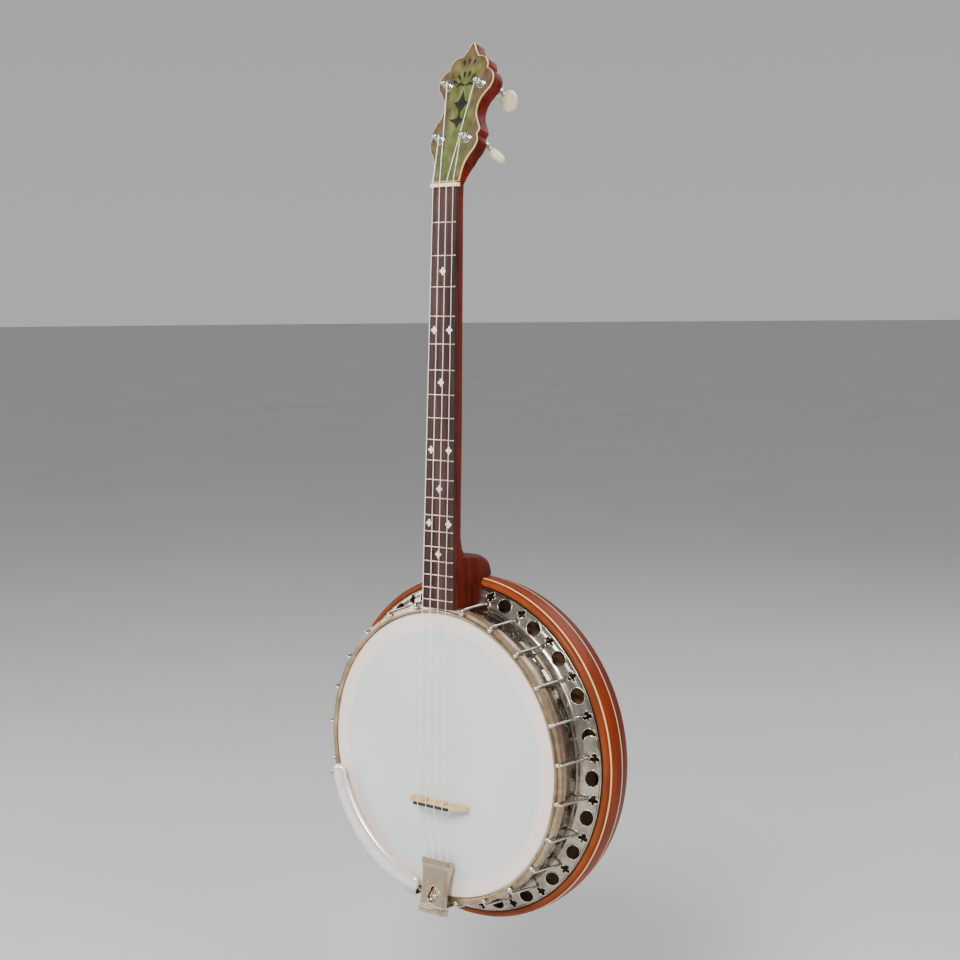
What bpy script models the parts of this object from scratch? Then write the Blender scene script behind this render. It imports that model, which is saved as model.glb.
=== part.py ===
"""A four-string tenor resonator banjo at its real size, for Blender 4.5. Metres, +Z up the neck.

The design is drawn in millimetres from the nut: X across the fingerboard, Y from the head's playing
surface (Y = 0) towards the resonator's back, and Z up the neck from the nut's front edge. The whole
instrument hangs from one empty, which puts the origin where a wall hanger holds it, in the middle of
the neck just under the headstock's flare.
"""

import math

import bmesh
import bpy
from mathutils import Matrix, Vector

MM = 0.001
GAP = 0.3

# Scale and head, which everything else is set out from.
SCALE_LENGTH = 584.2
FRETS = 19
HEAD_CENTRE_Z = -540.0
HEAD_RADIUS = 138.1
HANGER_SEAT = (0.0, 20.0, 22.0)

# Fingerboard and neck.
BOARD_Y_AT_NUT = 12.4
BOARD_SLOPE = 0.0384
BOARD_THICKNESS = 5.0
BOARD_END_Z = -397.3
BOARD_HALF_AT_NUT = 15.2
BOARD_HALF_AT_END = 19.0
FRET_HEIGHT = 1.0
FRET_WIDTH = 2.2
NUT_HALF_WIDTH = 17.2
NUT_TOP_Y = 10.2
NUT_DEPTH = 3.6
HEEL_END_Z = -400.8
NECK_FULLNESS = 0.88
HEEL_FULLNESS = 0.55
NECK_SIDES = 12

# Headstock, which leans back from the nut.
HEADSTOCK_LEAN = math.radians(18.2)
HEADSTOCK_START = 5.4
OVERLAY_THICKNESS = 1.6
HEADSTOCK_THICKNESS = 13.5

# Tuners: (half spacing, distance up the headstock) of the upper and the lower pair.
TUNER_PLACES = ((20.0, 102.0), (16.5, 48.0))
TUNER_HOLE_RADIUS = 4.9
POST_RADIUS = 3.0
POST_HEIGHT = 11.0

# Pot. Every turned part is a profile of (radius, y).
RIM_INNER_RADIUS = 122.5
RIM_OUTER_RADIUS = 138.5
RIM_FRONT_Y = 14.0
RIM_BACK_Y = 64.0
HOOP_INNER_RADIUS = 138.6
HOOP_OUTER_RADIUS = 145.0
HOOP_FRONT_Y = -2.8
HOOP_BACK_Y = 8.3
LEDGE_Y = 0.8
SKIRT_OUTER_RADIUS = 142.2
SKIRT_BACK_Y = 25.5
FLANGE_OUTER_RADIUS = 161.0
RESONATOR_INNER_RADIUS = 161.4
RESONATOR_RADIUS = 169.0
RESONATOR_BACK_Y = 94.0
BACK_FLAT_RADIUS = 45.0
TURN_STEPS = 48

# Hooks: a wide gap at the neck and equal spacing over the rest of the hoop.
HOOK_COUNT = 24
NECK_GAP_DEG = 23.5
HOOK_STEP_DEG = (360.0 - NECK_GAP_DEG) / (HOOK_COUNT - 1)
HOOK_ROD_RADIUS = 1.5
HOOK_FOOT_RADIUS = 149.2

# Rod through the pot, which ties the neck to the rim and holds the tailpiece bracket.
ROD_Y = 48.0
ROD_RADIUS = 3.0

# Bridge and strings.
BRIDGE_HALF_WIDTH = 35.8
BRIDGE_TOP_HALF = 21.8
BRIDGE_WOOD_Y = -14.8
BRIDGE_TOP_Y = -17.0
BRIDGE_THICKNESS = 5.6
# The bridge stands a little past the scale length, to keep fretted notes in tune.
BRIDGE_Z = -SCALE_LENGTH - 2.4
STRING_RADIUS = 0.4
NUT_STRING_SPACING = 8.3
BRIDGE_STRING_SPACING = 10.35
TAIL_STRING_SPACING = 8.8

# Tailpiece, around its hinge pin.
TAIL_PIN = (0.0, -12.6, -688.6)
TAIL_LEAN_DEG = 10.5
TAIL_PLATE = 1.2
STRAP_RADIUS = 150.5
STRAP_HALF_WIDTH = 6.0
PIN_RADIUS = 1.6
FOLD = (2.8, 3.6)
TAIL_STRING_END = (-4.7, -650.0)

# Armrest, a bent bar that stands over the hoop on the bass side.
ARMREST_RADIUS = 131.6
ARMREST_Y = -9.6
ARMREST_START_DEG = -101.8
ARMREST_END_DEG = -170.3
ARMREST_HALF_THICKNESS = 3.8
CLAMP_ANGLES_DEG = (253.15, 194.63)

OVERLAY_GREEN = (0.30, 0.33, 0.10)
MAHOGANY = (0.20, 0.025, 0.015)
ROSEWOOD = (0.075, 0.030, 0.028)
BONE = (0.85, 0.78, 0.58)
NICKEL = (0.62, 0.60, 0.56)
AGED_NICKEL = (0.34, 0.29, 0.22)
STEEL = (0.75, 0.75, 0.73)
IVOROID = (0.88, 0.80, 0.58)
MAPLE = (0.80, 0.52, 0.27)
EBONY = (0.03, 0.022, 0.02)
SKIN_WHITE = (0.75, 0.76, 0.76)
SUNBURST = (0.50, 0.10, 0.02)


def board_y(z):
    """The fingerboard's playing surface."""
    return BOARD_Y_AT_NUT + BOARD_SLOPE * min(z, 0.0)


def board_half(z):
    """Half the fingerboard's width."""
    along = min(max(z / BOARD_END_Z, 0.0), 1.0)
    return BOARD_HALF_AT_NUT + (BOARD_HALF_AT_END - BOARD_HALF_AT_NUT) * along


def fret_z(number):
    """Where a fret stands, by the twelfth root of two."""
    return -SCALE_LENGTH * (1.0 - 2.0 ** (-number / 12.0))


def hook_angle(index):
    """Degrees from the top of the pot, clockwise as the player's audience sees it."""
    return NECK_GAP_DEG / 2.0 + HOOK_STEP_DEG * index


# ---------------------------------------------------------------- scene and helpers

for old in list(bpy.data.objects):
    bpy.data.objects.remove(old, do_unlink=True)

banjo = bpy.data.collections.new("banjo")
cutters = bpy.data.collections.new("cutters")
bpy.context.scene.collection.children.link(banjo)
bpy.context.scene.collection.children.link(cutters)


def material(name, colour, roughness, metallic=0.0):
    made = bpy.data.materials.new(name)
    made.use_nodes = True
    shader = made.node_tree.nodes["Principled BSDF"]
    shader.inputs["Base Color"].default_value = (*colour, 1.0)
    shader.inputs["Roughness"].default_value = roughness
    shader.inputs["Metallic"].default_value = metallic
    made.diffuse_color = (*colour, 1.0)
    return made


def add_object(name, mesh, finish=None, matrix=None):
    """A visible part with its material, or without one a hidden helper for a Boolean."""
    obj = bpy.data.objects.new(name, mesh)
    if finish is None:
        cutters.objects.link(obj)
        obj.hide_render = True
        obj.display_type = "WIRE"
    else:
        banjo.objects.link(obj)
        if not mesh.materials:
            mesh.materials.append(finish)
    if matrix is not None:
        obj.matrix_world = matrix
    return obj


def shift(x, y, z):
    return Matrix.Translation(Vector((x, y, z)) * MM)


def turn(degrees, axis):
    return Matrix.Rotation(math.radians(degrees), 4, axis)


# Frames that parts are placed by. The pot's has the head's axis as its local Z, towards the back;
# the headstock's has X across, Y up the headstock and Z out of its face.
POT = shift(0.0, 0.0, HEAD_CENTRE_Z) @ turn(-90.0, "X")
HEADSTOCK = shift(0.0, BOARD_Y_AT_NUT, 0.0) @ turn(90.0 - math.degrees(HEADSTOCK_LEAN), "X")


def pot_at(degrees):
    """The pot's frame, turned so that local X points out at this angle from the top."""
    return POT @ turn(degrees - 90.0, "Z")


def finish_mesh(name, bm, smooth_deg=35.0):
    """A welded mesh with its faces out, shaded smooth except at its edges."""
    bmesh.ops.remove_doubles(bm, verts=bm.verts, dist=0.002 * MM)
    bmesh.ops.recalc_face_normals(bm, faces=bm.faces)
    mesh = bpy.data.meshes.new(name)
    bm.to_mesh(mesh)
    bm.free()
    mesh.shade_smooth()
    mesh.set_sharp_from_angle(angle=math.radians(smooth_deg))
    return mesh


def loft_mesh(name, rings):
    """A closed skin through rings of the same number of points, given in millimetres."""
    bm = bmesh.new()
    made = [[bm.verts.new(Vector(point) * MM) for point in ring] for ring in rings]
    count = len(made[0])
    for lower, upper in zip(made, made[1:]):
        for i in range(count):
            j = (i + 1) % count
            bm.faces.new((lower[i], lower[j], upper[j], upper[i]))
    bm.faces.new(made[0][::-1])
    bm.faces.new(made[-1])
    return finish_mesh(name, bm)


def box_mesh(name, low, high):
    bm = bmesh.new()
    bmesh.ops.create_cube(bm, size=1.0)
    size = [b - a for a, b in zip(low, high)]
    middle = [(a + b) / 2.0 for a, b in zip(low, high)]
    bmesh.ops.scale(bm, vec=Vector(size) * MM, verts=bm.verts)
    bmesh.ops.translate(bm, vec=Vector(middle) * MM, verts=bm.verts)
    return finish_mesh(name, bm)


def rod_mesh(name, radius, low, high, sides=12, squeeze=1.0):
    """A cylinder along local Z, which squeeze makes oval across local X."""
    bm = bmesh.new()
    bmesh.ops.create_cone(
        bm,
        cap_ends=True,
        segments=sides,
        radius1=radius * MM,
        radius2=radius * MM,
        depth=(high - low) * MM,
    )
    bmesh.ops.scale(bm, vec=Vector((squeeze, 1.0, 1.0)), verts=bm.verts)
    bmesh.ops.translate(bm, vec=Vector((0.0, 0.0, (low + high) / 2.0 * MM)), verts=bm.verts)
    return finish_mesh(name, bm)


def turned(name, profile, finish, matrix, steps=TURN_STEPS, closed=True):
    """A profile of (radius, height) turned about local Z with a Screw modifier."""
    area = sum(a[0] * b[1] - b[0] * a[1] for a, b in zip(profile, profile[1:] + profile[:1]))
    points = list(profile) if area < 0.0 else list(profile)[::-1]
    edges = [(i, i + 1) for i in range(len(points) - 1)]
    if closed:
        edges.append((len(points) - 1, 0))
    mesh = bpy.data.meshes.new(name)
    mesh.from_pydata([(r * MM, 0.0, h * MM) for r, h in points], edges, [])
    obj = add_object(name, mesh, finish, matrix)
    screw = obj.modifiers.new("turn", "SCREW")
    screw.axis = "Z"
    screw.steps = steps
    screw.render_steps = steps
    screw.use_merge_vertices = True
    screw.merge_threshold = 0.00001
    screw.use_smooth_shade = True
    return obj


def plate_mesh(name, outlines, thickness):
    """A flat plate from a filled 2D curve, its later outlines being holes, centred on local Z = 0."""
    curve = bpy.data.curves.new(name, "CURVE")
    curve.dimensions = "2D"
    curve.fill_mode = "BOTH"
    curve.extrude = thickness / 2.0 * MM
    for outline in outlines:
        spline = curve.splines.new("POLY")
        spline.points.add(len(outline) - 1)
        for point, (x, y) in zip(spline.points, outline):
            point.co = (x * MM, y * MM, 0.0, 1.0)
        spline.use_cyclic_u = True
    return mesh_of_curve(name, curve)


def mesh_of_curve(name, curve):
    """The curve's own surface as a mesh, with its loose caps welded on."""
    holder = bpy.data.objects.new(name, curve)
    cutters.objects.link(holder)
    bpy.context.view_layer.update()
    graph = bpy.context.evaluated_depsgraph_get()
    made = bpy.data.meshes.new_from_object(holder.evaluated_get(graph))
    bpy.data.objects.remove(holder)
    bpy.data.curves.remove(curve)
    bm = bmesh.new()
    bm.from_mesh(made)
    bpy.data.meshes.remove(made)
    return finish_mesh(name, bm)


def wire_mesh(name, points, radius, sizes=None, resolution=1):
    """A wire through the points, a POLY spline with a bevel, whose thickness may vary by sizes."""
    curve = bpy.data.curves.new(name, "CURVE")
    curve.dimensions = "3D"
    curve.bevel_depth = radius * MM
    curve.bevel_resolution = resolution
    curve.use_fill_caps = True
    spline = curve.splines.new("POLY")
    spline.points.add(len(points) - 1)
    for i, (point, place) in enumerate(zip(spline.points, points)):
        point.co = (*(Vector(place) * MM), 1.0)
        point.radius = sizes[i] if sizes else 1.0
    return mesh_of_curve(name, curve)


def boolean(obj, mesh, matrix, operation):
    helper = add_object(obj.name + "_" + mesh.name, mesh, matrix=matrix)
    use_helper(obj, helper, operation)
    return helper


def use_helper(obj, helper, operation):
    modifier = obj.modifiers.new(helper.name, "BOOLEAN")
    modifier.operation = operation
    modifier.solver = "EXACT"
    modifier.object = helper


def cut(obj, mesh, matrix=None):
    boolean(obj, mesh, matrix or Matrix.Identity(4), "DIFFERENCE")


def add(obj, mesh, matrix=None):
    boolean(obj, mesh, matrix or Matrix.Identity(4), "UNION")


def joined_mesh(name, pieces):
    """One mesh from (mesh, matrix) pairs that don't touch, for a Boolean that makes many holes."""
    bm = bmesh.new()
    for mesh, matrix in pieces:
        before = len(bm.verts)
        bm.from_mesh(mesh)
        bm.verts.ensure_lookup_table()
        bmesh.ops.transform(bm, matrix=matrix, verts=bm.verts[before:])
    return finish_mesh(name, bm)


# ---------------------------------------------------------------- neck

MATERIALS = {
    "mahogany": material("mahogany", MAHOGANY, 0.28),
    "pearloid": material("pearloid", OVERLAY_GREEN, 0.25),
    "rosewood": material("rosewood", ROSEWOOD, 0.45),
    "bone": material("bone", BONE, 0.40),
    "nickel": material("nickel", NICKEL, 0.22, 1.0),
    "aged_nickel": material("aged_nickel", AGED_NICKEL, 0.38, 1.0),
    "string_steel": material("string_steel", STEEL, 0.25, 1.0),
    "ivoroid": material("ivoroid", IVOROID, 0.30),
    "maple": material("maple", MAPLE, 0.50),
    "ebony": material("ebony", EBONY, 0.35),
    "head_skin": material("head_skin", SKIN_WHITE, 0.60),
    "rim_wood": material("rim_wood", MAPLE, 0.45),
    "sunburst": material("sunburst", SUNBURST, 0.20),
    "steel": material("steel", STEEL, 0.35, 1.0),
}

# The headstock's right half, from the neck up to its point: (half width, distance up).
HEADSTOCK_HALF = (
    (16.4, HEADSTOCK_START),
    (17.2, 17.0),
    (18.6, 24.0),
    (22.0, 31.0),
    (26.6, 38.0),
    (28.6, 46.0),
    (26.6, 51.4),
    (28.8, 56.5),
    (25.4, 63.0),
    (21.4, 70.0),
    (20.2, 77.5),
    (21.6, 85.0),
    (26.2, 92.5),
    (31.2, 98.5),
    (33.0, 104.5),
    (31.8, 110.5),
    (28.0, 115.2),
    (23.0, 117.6),
    (22.6, 122.0),
    (20.2, 126.6),
    (15.8, 129.6),
    (9.4, 130.8),
    (5.8, 135.6),
    (2.6, 141.0),
    (0.9, 144.3),
)


def headstock_outline():
    return list(HEADSTOCK_HALF) + [(-x, y) for x, y in reversed(HEADSTOCK_HALF)]


def circle(centre, radius, sides):
    turns = [2.0 * math.pi * i / sides for i in range(sides)]
    return [(centre[0] + radius * math.cos(a), centre[1] + radius * math.sin(a)) for a in turns]


def tuner_centres():
    return [(side * x, up) for x, up in TUNER_PLACES for side in (-1, 1)]


# How deep the neck is below the fingerboard: (z, depth). It sweeps back sharply into the heel, whose
# foot goes between the resonator's wall and the rim.
NECK_DEPTHS = (
    (17.0, 12.0),
    (4.7, 12.6),
    (4.3, 17.0),
    (-120.0, 17.6),
    (-250.0, 18.6),
    (-322.0, 19.4),
    (-334.0, 20.6),
    (-341.5, 22.4),
    (-346.8, 26.0),
    (-348.8, 36.0),
    (-351.3, 48.6),
    (-357.4, 58.2),
    (-366.0, 62.4),
    (-378.8, 65.0),
    (-379.1, 54.0),
    (HEEL_END_Z, 53.0),
)


def neck_ring(z, depth):
    """A flat top under the fingerboard and a rounded back, which is squarer at the heel."""
    top = board_y(z) + BOARD_THICKNESS + GAP
    if z > NUT_DEPTH + 1.0:
        top += 4.5
    heel = min(max((z + 330.0) / -30.0, 0.0), 1.0)
    fullness = NECK_FULLNESS + (HEEL_FULLNESS - NECK_FULLNESS) * heel
    half = board_half(z) + (1.0 if z > 0.0 else 0.0)
    ring = []
    for i in range(NECK_SIDES + 1):
        angle = math.pi * i / NECK_SIDES
        across = math.copysign(abs(math.cos(angle)) ** fullness, math.cos(angle))
        ring.append((half * across, top + depth * abs(math.sin(angle)) ** fullness, z))
    return ring


def make_neck():
    rings = [neck_ring(z, depth) for z, depth in NECK_DEPTHS]
    neck = add_object("neck", loft_mesh("neck", rings), MATERIALS["mahogany"])
    wood = plate_mesh("headstock", [headstock_outline()], HEADSTOCK_THICKNESS)
    wood_middle = -(OVERLAY_THICKNESS + GAP + HEADSTOCK_THICKNESS / 2.0)
    add(neck, wood, HEADSTOCK @ shift(0.0, 0.0, wood_middle))
    drill = rod_mesh("tuner_holes", TUNER_HOLE_RADIUS, -40.0, 5.0, sides=16)
    holes = [(drill, shift(x, up, 0.0)) for x, up in tuner_centres()]
    cut(neck, joined_mesh("tuner_holes", holes), HEADSTOCK)
    cut(neck, box_mesh("pot_end", (-25.0, -20.0, -420.0), (25.0, 26.2, BOARD_END_Z)))
    cut(neck, rod_mesh("rod_hole", ROD_RADIUS + 0.4, 130.0, 158.4), rod_frame())
    inner, outer = RESONATOR_INNER_RADIUS - 0.7, RESONATOR_RADIUS + 0.5
    wall = [(inner, 40.8), (outer, 40.8), (outer, 110.0), (inner, 110.0)]
    ring = turned("neck_resonator_seat", wall, None, POT, steps=96)
    use_helper(neck, ring, "DIFFERENCE")


def make_overlay():
    holes = [circle(place, TUNER_HOLE_RADIUS, 16) for place in tuner_centres()]
    mesh = plate_mesh("headstock_overlay", [headstock_outline(), *holes], OVERLAY_THICKNESS)
    place = HEADSTOCK @ shift(0.0, 0.0, -OVERLAY_THICKNESS / 2.0)
    add_object("headstock_overlay", mesh, MATERIALS["pearloid"], place)


def make_fingerboard():
    """The board's side view with its frets, extruded across and then tapered."""
    side = [(-GAP, board_y(0.0))]
    for number in range(1, FRETS + 1):
        z = fret_z(number)
        for offset, rise in ((0.5, 0.0), (0.25, 1.0), (-0.25, 1.0), (-0.5, 0.0)):
            at = z + offset * FRET_WIDTH
            side.append((at, board_y(at) - rise * FRET_HEIGHT))
    side.append((BOARD_END_Z, board_y(BOARD_END_Z)))
    side.append((BOARD_END_Z, board_y(BOARD_END_Z) + BOARD_THICKNESS))
    side.append((-GAP, board_y(0.0) + BOARD_THICKNESS))
    rings = [[(sign * board_half(z), y, z) for z, y in side] for sign in (-1, 1)]
    add_object("fingerboard", loft_mesh("fingerboard", rings), MATERIALS["rosewood"])


def string_places(spacing):
    return [(index - 1.5) * spacing for index in range(4)]


def make_nut():
    bottom = BOARD_Y_AT_NUT + BOARD_THICKNESS
    outline = [(NUT_HALF_WIDTH, bottom), (NUT_HALF_WIDTH, NUT_TOP_Y + 0.8)]
    outline.append((NUT_HALF_WIDTH - 0.8, NUT_TOP_Y))
    for x in reversed(string_places(NUT_STRING_SPACING)):
        outline += [(x + 0.8, NUT_TOP_Y), (x + 0.8, NUT_TOP_Y + 1.5)]
        outline += [(x - 0.8, NUT_TOP_Y + 1.5), (x - 0.8, NUT_TOP_Y)]
    outline += [(0.8 - NUT_HALF_WIDTH, NUT_TOP_Y), (-NUT_HALF_WIDTH, NUT_TOP_Y + 0.8)]
    outline.append((-NUT_HALF_WIDTH, bottom))
    rings = [[(x, y, z) for x, y in outline] for z in (0.0, NUT_DEPTH)]
    add_object("nut", loft_mesh("nut", rings), MATERIALS["bone"])


# ---------------------------------------------------------------- tuners

HOUSING_PROFILE = (
    (3.4, 1.9),
    (5.6, 1.9),
    (6.4, 0.3),
    (4.5, 0.3),
    (4.5, -15.8),
    (7.2, -15.8),
    (7.2, -25.6),
    (5.4, -27.4),
    (3.4, -27.4),
)
POST_PROFILE = (
    (0.0, POST_HEIGHT),
    (2.2, POST_HEIGHT),
    (POST_RADIUS, POST_HEIGHT - 0.8),
    (POST_RADIUS, 8.4),
    (2.4, 7.4),
    (2.4, 5.6),
    (POST_RADIUS, 4.6),
    (POST_RADIUS, -14.0),
    (0.0, -14.0),
)
# The button's sections: (height along the peg, half width, half thickness).
BUTTON_SECTIONS = (
    (-15.0, 2.6, 2.6),
    (-27.8, 2.6, 2.6),
    (-27.9, 4.6, 4.6),
    (-31.0, 4.6, 4.6),
    (-31.1, 3.4, 3.4),
    (-33.0, 4.4, 3.8),
    (-36.0, 8.2, 4.4),
    (-40.0, 10.8, 4.8),
    (-45.0, 11.6, 4.8),
    (-50.0, 10.0, 4.2),
    (-53.2, 6.8, 3.2),
    (-54.6, 2.8, 1.8),
)
BUTTON_SIDES = 12
BUTTON_TURNS_DEG = (70.0, 80.0, 20.0, -40.0)
TUNER_NAMES = ("upper_left", "upper_right", "lower_left", "lower_right")


def make_tuner(name, centre, button_turn):
    place = HEADSTOCK @ shift(*centre, 0.0)
    turned("tuner_housing_" + name, HOUSING_PROFILE, MATERIALS["nickel"], place, steps=16)
    turned("tuner_post_" + name, POST_PROFILE, MATERIALS["nickel"], place, steps=12, closed=False)
    rings = []
    for height, half, thick in BUTTON_SECTIONS:
        turns = [2.0 * math.pi * i / BUTTON_SIDES for i in range(BUTTON_SIDES)]
        rings.append([(half * math.cos(a), thick * math.sin(a), height) for a in turns])
    mesh = loft_mesh("tuner_button_" + name, rings)
    add_object("tuner_button_" + name, mesh, MATERIALS["ivoroid"], place @ turn(button_turn, "Z"))


# ---------------------------------------------------------------- pot

HEAD_PROFILE = (
    (0.0, 0.0),
    (137.4, 0.0),
    (HEAD_RADIUS, 0.7),
    (HEAD_RADIUS, 4.9),
    (140.4, 4.9),
    (140.4, 7.6),
    (137.7, 7.6),
    (137.7, 1.0),
    (137.2, 0.6),
    (0.0, 0.6),
)
HOOP_PROFILE = (
    (HOOP_INNER_RADIUS, HOOP_FRONT_Y + 0.4),
    (HOOP_INNER_RADIUS + 0.5, HOOP_FRONT_Y),
    (140.8, HOOP_FRONT_Y),
    (141.2, HOOP_FRONT_Y + 0.4),
    (141.2, LEDGE_Y),
    (HOOP_OUTER_RADIUS - 0.6, LEDGE_Y),
    (HOOP_OUTER_RADIUS, LEDGE_Y + 0.6),
    (HOOP_OUTER_RADIUS, HOOP_BACK_Y),
    (140.8, HOOP_BACK_Y),
    (140.8, 4.5),
    (HOOP_INNER_RADIUS, 4.5),
)
TONE_RING_PROFILE = (
    (128.0, 3.0),
    (131.0, 0.9),
    (136.6, 0.9),
    (137.3, 1.6),
    (137.3, 9.2),
    (SKIRT_OUTER_RADIUS, 9.2),
    (SKIRT_OUTER_RADIUS, SKIRT_BACK_Y),
    (138.9, SKIRT_BACK_Y),
    (138.9, 13.6),
    (128.0, 13.6),
)
# The flange's front, from its seat on the rim out to its rim.
FLANGE_FRONT = (
    (138.9, 25.9),
    (143.2, 25.9),
    (143.8, 31.5),
    (147.0, 35.2),
    (154.4, 37.8),
    (FLANGE_OUTER_RADIUS, 41.0),
)
FLANGE_BACK = (
    (FLANGE_OUTER_RADIUS, 42.4),
    (153.8, 39.2),
    (146.0, 36.4),
    (142.4, 32.0),
    (141.8, 27.4),
    (138.9, 27.4),
)
RESONATOR_OUTSIDE = (
    (RESONATOR_INNER_RADIUS, 42.0),
    (163.0, 41.0),
    (166.6, 42.8),
    (RESONATOR_RADIUS, 49.0),
    (168.2, 61.0),
    (165.4, 73.0),
    (161.6, 81.0),
    (155.0, 85.8),
    (112.0, 91.4),
    (BACK_FLAT_RADIUS, RESONATOR_BACK_Y),
    (0.0, RESONATOR_BACK_Y),
)
RESONATOR_INSIDE = (
    (0.0, RESONATOR_BACK_Y - 5.0),
    (110.0, 86.4),
    (152.0, 80.6),
    (158.6, 72.0),
    (RESONATOR_INNER_RADIUS, 58.0),
)


def rod_frame():
    """The coordinator rod's frame: local Z runs from the tail end up towards the neck."""
    return shift(0.0, ROD_Y, HEAD_CENTRE_Z)


def oval_holes():
    """Round sound holes midway between hooks, and trefoil ones in line with them."""
    round_hole = rod_mesh("round", 8.1, 24.0, 50.0, sides=8, squeeze=0.78)
    shaft_hole = rod_mesh("shaft", HOOK_ROD_RADIUS + 0.45, 24.0, 50.0, sides=6)
    bm = bmesh.new()
    points = []
    for i in range(9):
        angle = 2.0 * math.pi * i / 9
        radius = 3.7 + 1.1 * math.cos(3.0 * angle)
        place = (0.82 * radius * math.cos(angle), 1.12 * radius * math.sin(angle), 24.0)
        points.append(Vector(place) * MM)
    face = bm.faces.new([bm.verts.new(point) for point in points])
    wall = bmesh.ops.extrude_face_region(bm, geom=[face])
    top = [item for item in wall["geom"] if isinstance(item, bmesh.types.BMVert)]
    bmesh.ops.translate(bm, vec=Vector((0.0, 0.0, 26.0 * MM)), verts=top)
    trefoil = finish_mesh("trefoil", bm)
    pieces = []
    for index in range(HOOK_COUNT):
        about = turn(hook_angle(index) - 90.0, "Z")
        pieces.append((trefoil, about @ shift(154.2, 0.0, 0.0)))
        pieces.append((shaft_hole, about @ shift(HOOK_FOOT_RADIUS, 0.0, 0.0)))
        if index < HOOK_COUNT - 1:
            between = turn(hook_angle(index) + HOOK_STEP_DEG / 2.0 - 90.0, "Z")
            pieces.append((round_hole, between @ shift(152.6, 0.0, 0.0)))
    return joined_mesh("sound_holes", pieces)


def make_pot():
    turned("head", HEAD_PROFILE, MATERIALS["head_skin"], POT, closed=False)
    hoop = turned("tension_hoop", HOOP_PROFILE, MATERIALS["aged_nickel"], POT)
    cut(hoop, box_mesh("neck_notch", (-19.7, -10.0, -397.9), (19.7, 20.0, -380.0)))
    turned("tone_ring", TONE_RING_PROFILE, MATERIALS["nickel"], POT)
    wood = [
        (RIM_INNER_RADIUS, RIM_FRONT_Y),
        (RIM_OUTER_RADIUS, RIM_FRONT_Y),
        (RIM_OUTER_RADIUS, RIM_BACK_Y),
        (RIM_INNER_RADIUS, RIM_BACK_Y),
    ]
    rim = turned("rim", wood, MATERIALS["rim_wood"], POT)
    cut(rim, rod_mesh("rod_hole", ROD_RADIUS + 0.4, -180.0, 180.0), rod_frame())
    flange = turned("flange", FLANGE_FRONT + FLANGE_BACK, MATERIALS["nickel"], POT)
    cut(flange, oval_holes(), POT)
    cut(flange, box_mesh("neck_gap", (-19.2, 20.0, -402.5), (19.2, 60.0, -370.0)))
    bowl = RESONATOR_INSIDE + RESONATOR_OUTSIDE
    turned("resonator", bowl, MATERIALS["sunburst"], POT, closed=False)


def make_rod():
    nut_out = STRAP_RADIUS + 1.0 + GAP
    profile = (
        (0.0, 157.0),
        (ROD_RADIUS, 157.0),
        (ROD_RADIUS, -nut_out),
        (5.0, -nut_out),
        (5.0, -nut_out - 5.0),
        (ROD_RADIUS, -nut_out - 5.1),
        (ROD_RADIUS, -nut_out - 7.0),
        (0.0, -nut_out - 7.0),
    )
    turned("coordinator_rod", profile, MATERIALS["steel"], rod_frame(), steps=12, closed=False)


def make_hooks():
    """A round hook over the hoop's ledge, its shaft down through the flange, and its nut behind."""
    path = (
        ((141.4, 0.0, -1.3), 0.6),
        ((142.0, 0.0, -1.3), 1.25),
        ((143.8, 0.0, -1.3), 1.25),
        ((144.1, 0.0, -1.3), 0.95),
        ((146.6, 0.0, -1.0), 1.0),
        ((147.2, 0.0, 1.6), 1.0),
        ((HOOK_FOOT_RADIUS, 0.0, 34.0), 1.0),
        ((HOOK_FOOT_RADIUS, 0.0, 41.4), 1.0),
        ((HOOK_FOOT_RADIUS, 0.0, 41.5), 2.3),
        ((HOOK_FOOT_RADIUS, 0.0, 51.5), 2.3),
        ((HOOK_FOOT_RADIUS, 0.0, 51.6), 1.0),
        ((HOOK_FOOT_RADIUS, 0.0, 55.0), 1.0),
    )
    mesh = wire_mesh("hook", [place for place, _ in path], HOOK_ROD_RADIUS, [size for _, size in path])
    mesh.materials.append(MATERIALS["nickel"])
    for index in range(HOOK_COUNT):
        name = "hook_%02d" % (index + 1)
        add_object(name, mesh, MATERIALS["nickel"], pot_at(hook_angle(index)))


# ---------------------------------------------------------------- bridge and strings

# The bridge's right half seen along the strings, with arches between its three feet.
BRIDGE_HALF = (
    (0.0, -GAP),
    (9.0, -GAP),
    (9.3, -9.2),
    (10.3, -11.0),
    (12.4, -11.8),
    (14.5, -11.0),
    (15.5, -9.2),
    (15.8, -GAP),
    (BRIDGE_HALF_WIDTH, -GAP),
    (BRIDGE_HALF_WIDTH, -5.6),
    (31.0, -8.6),
    (25.5, -12.8),
    (BRIDGE_TOP_HALF, BRIDGE_WOOD_Y),
    (0.0, BRIDGE_WOOD_Y),
)


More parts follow.
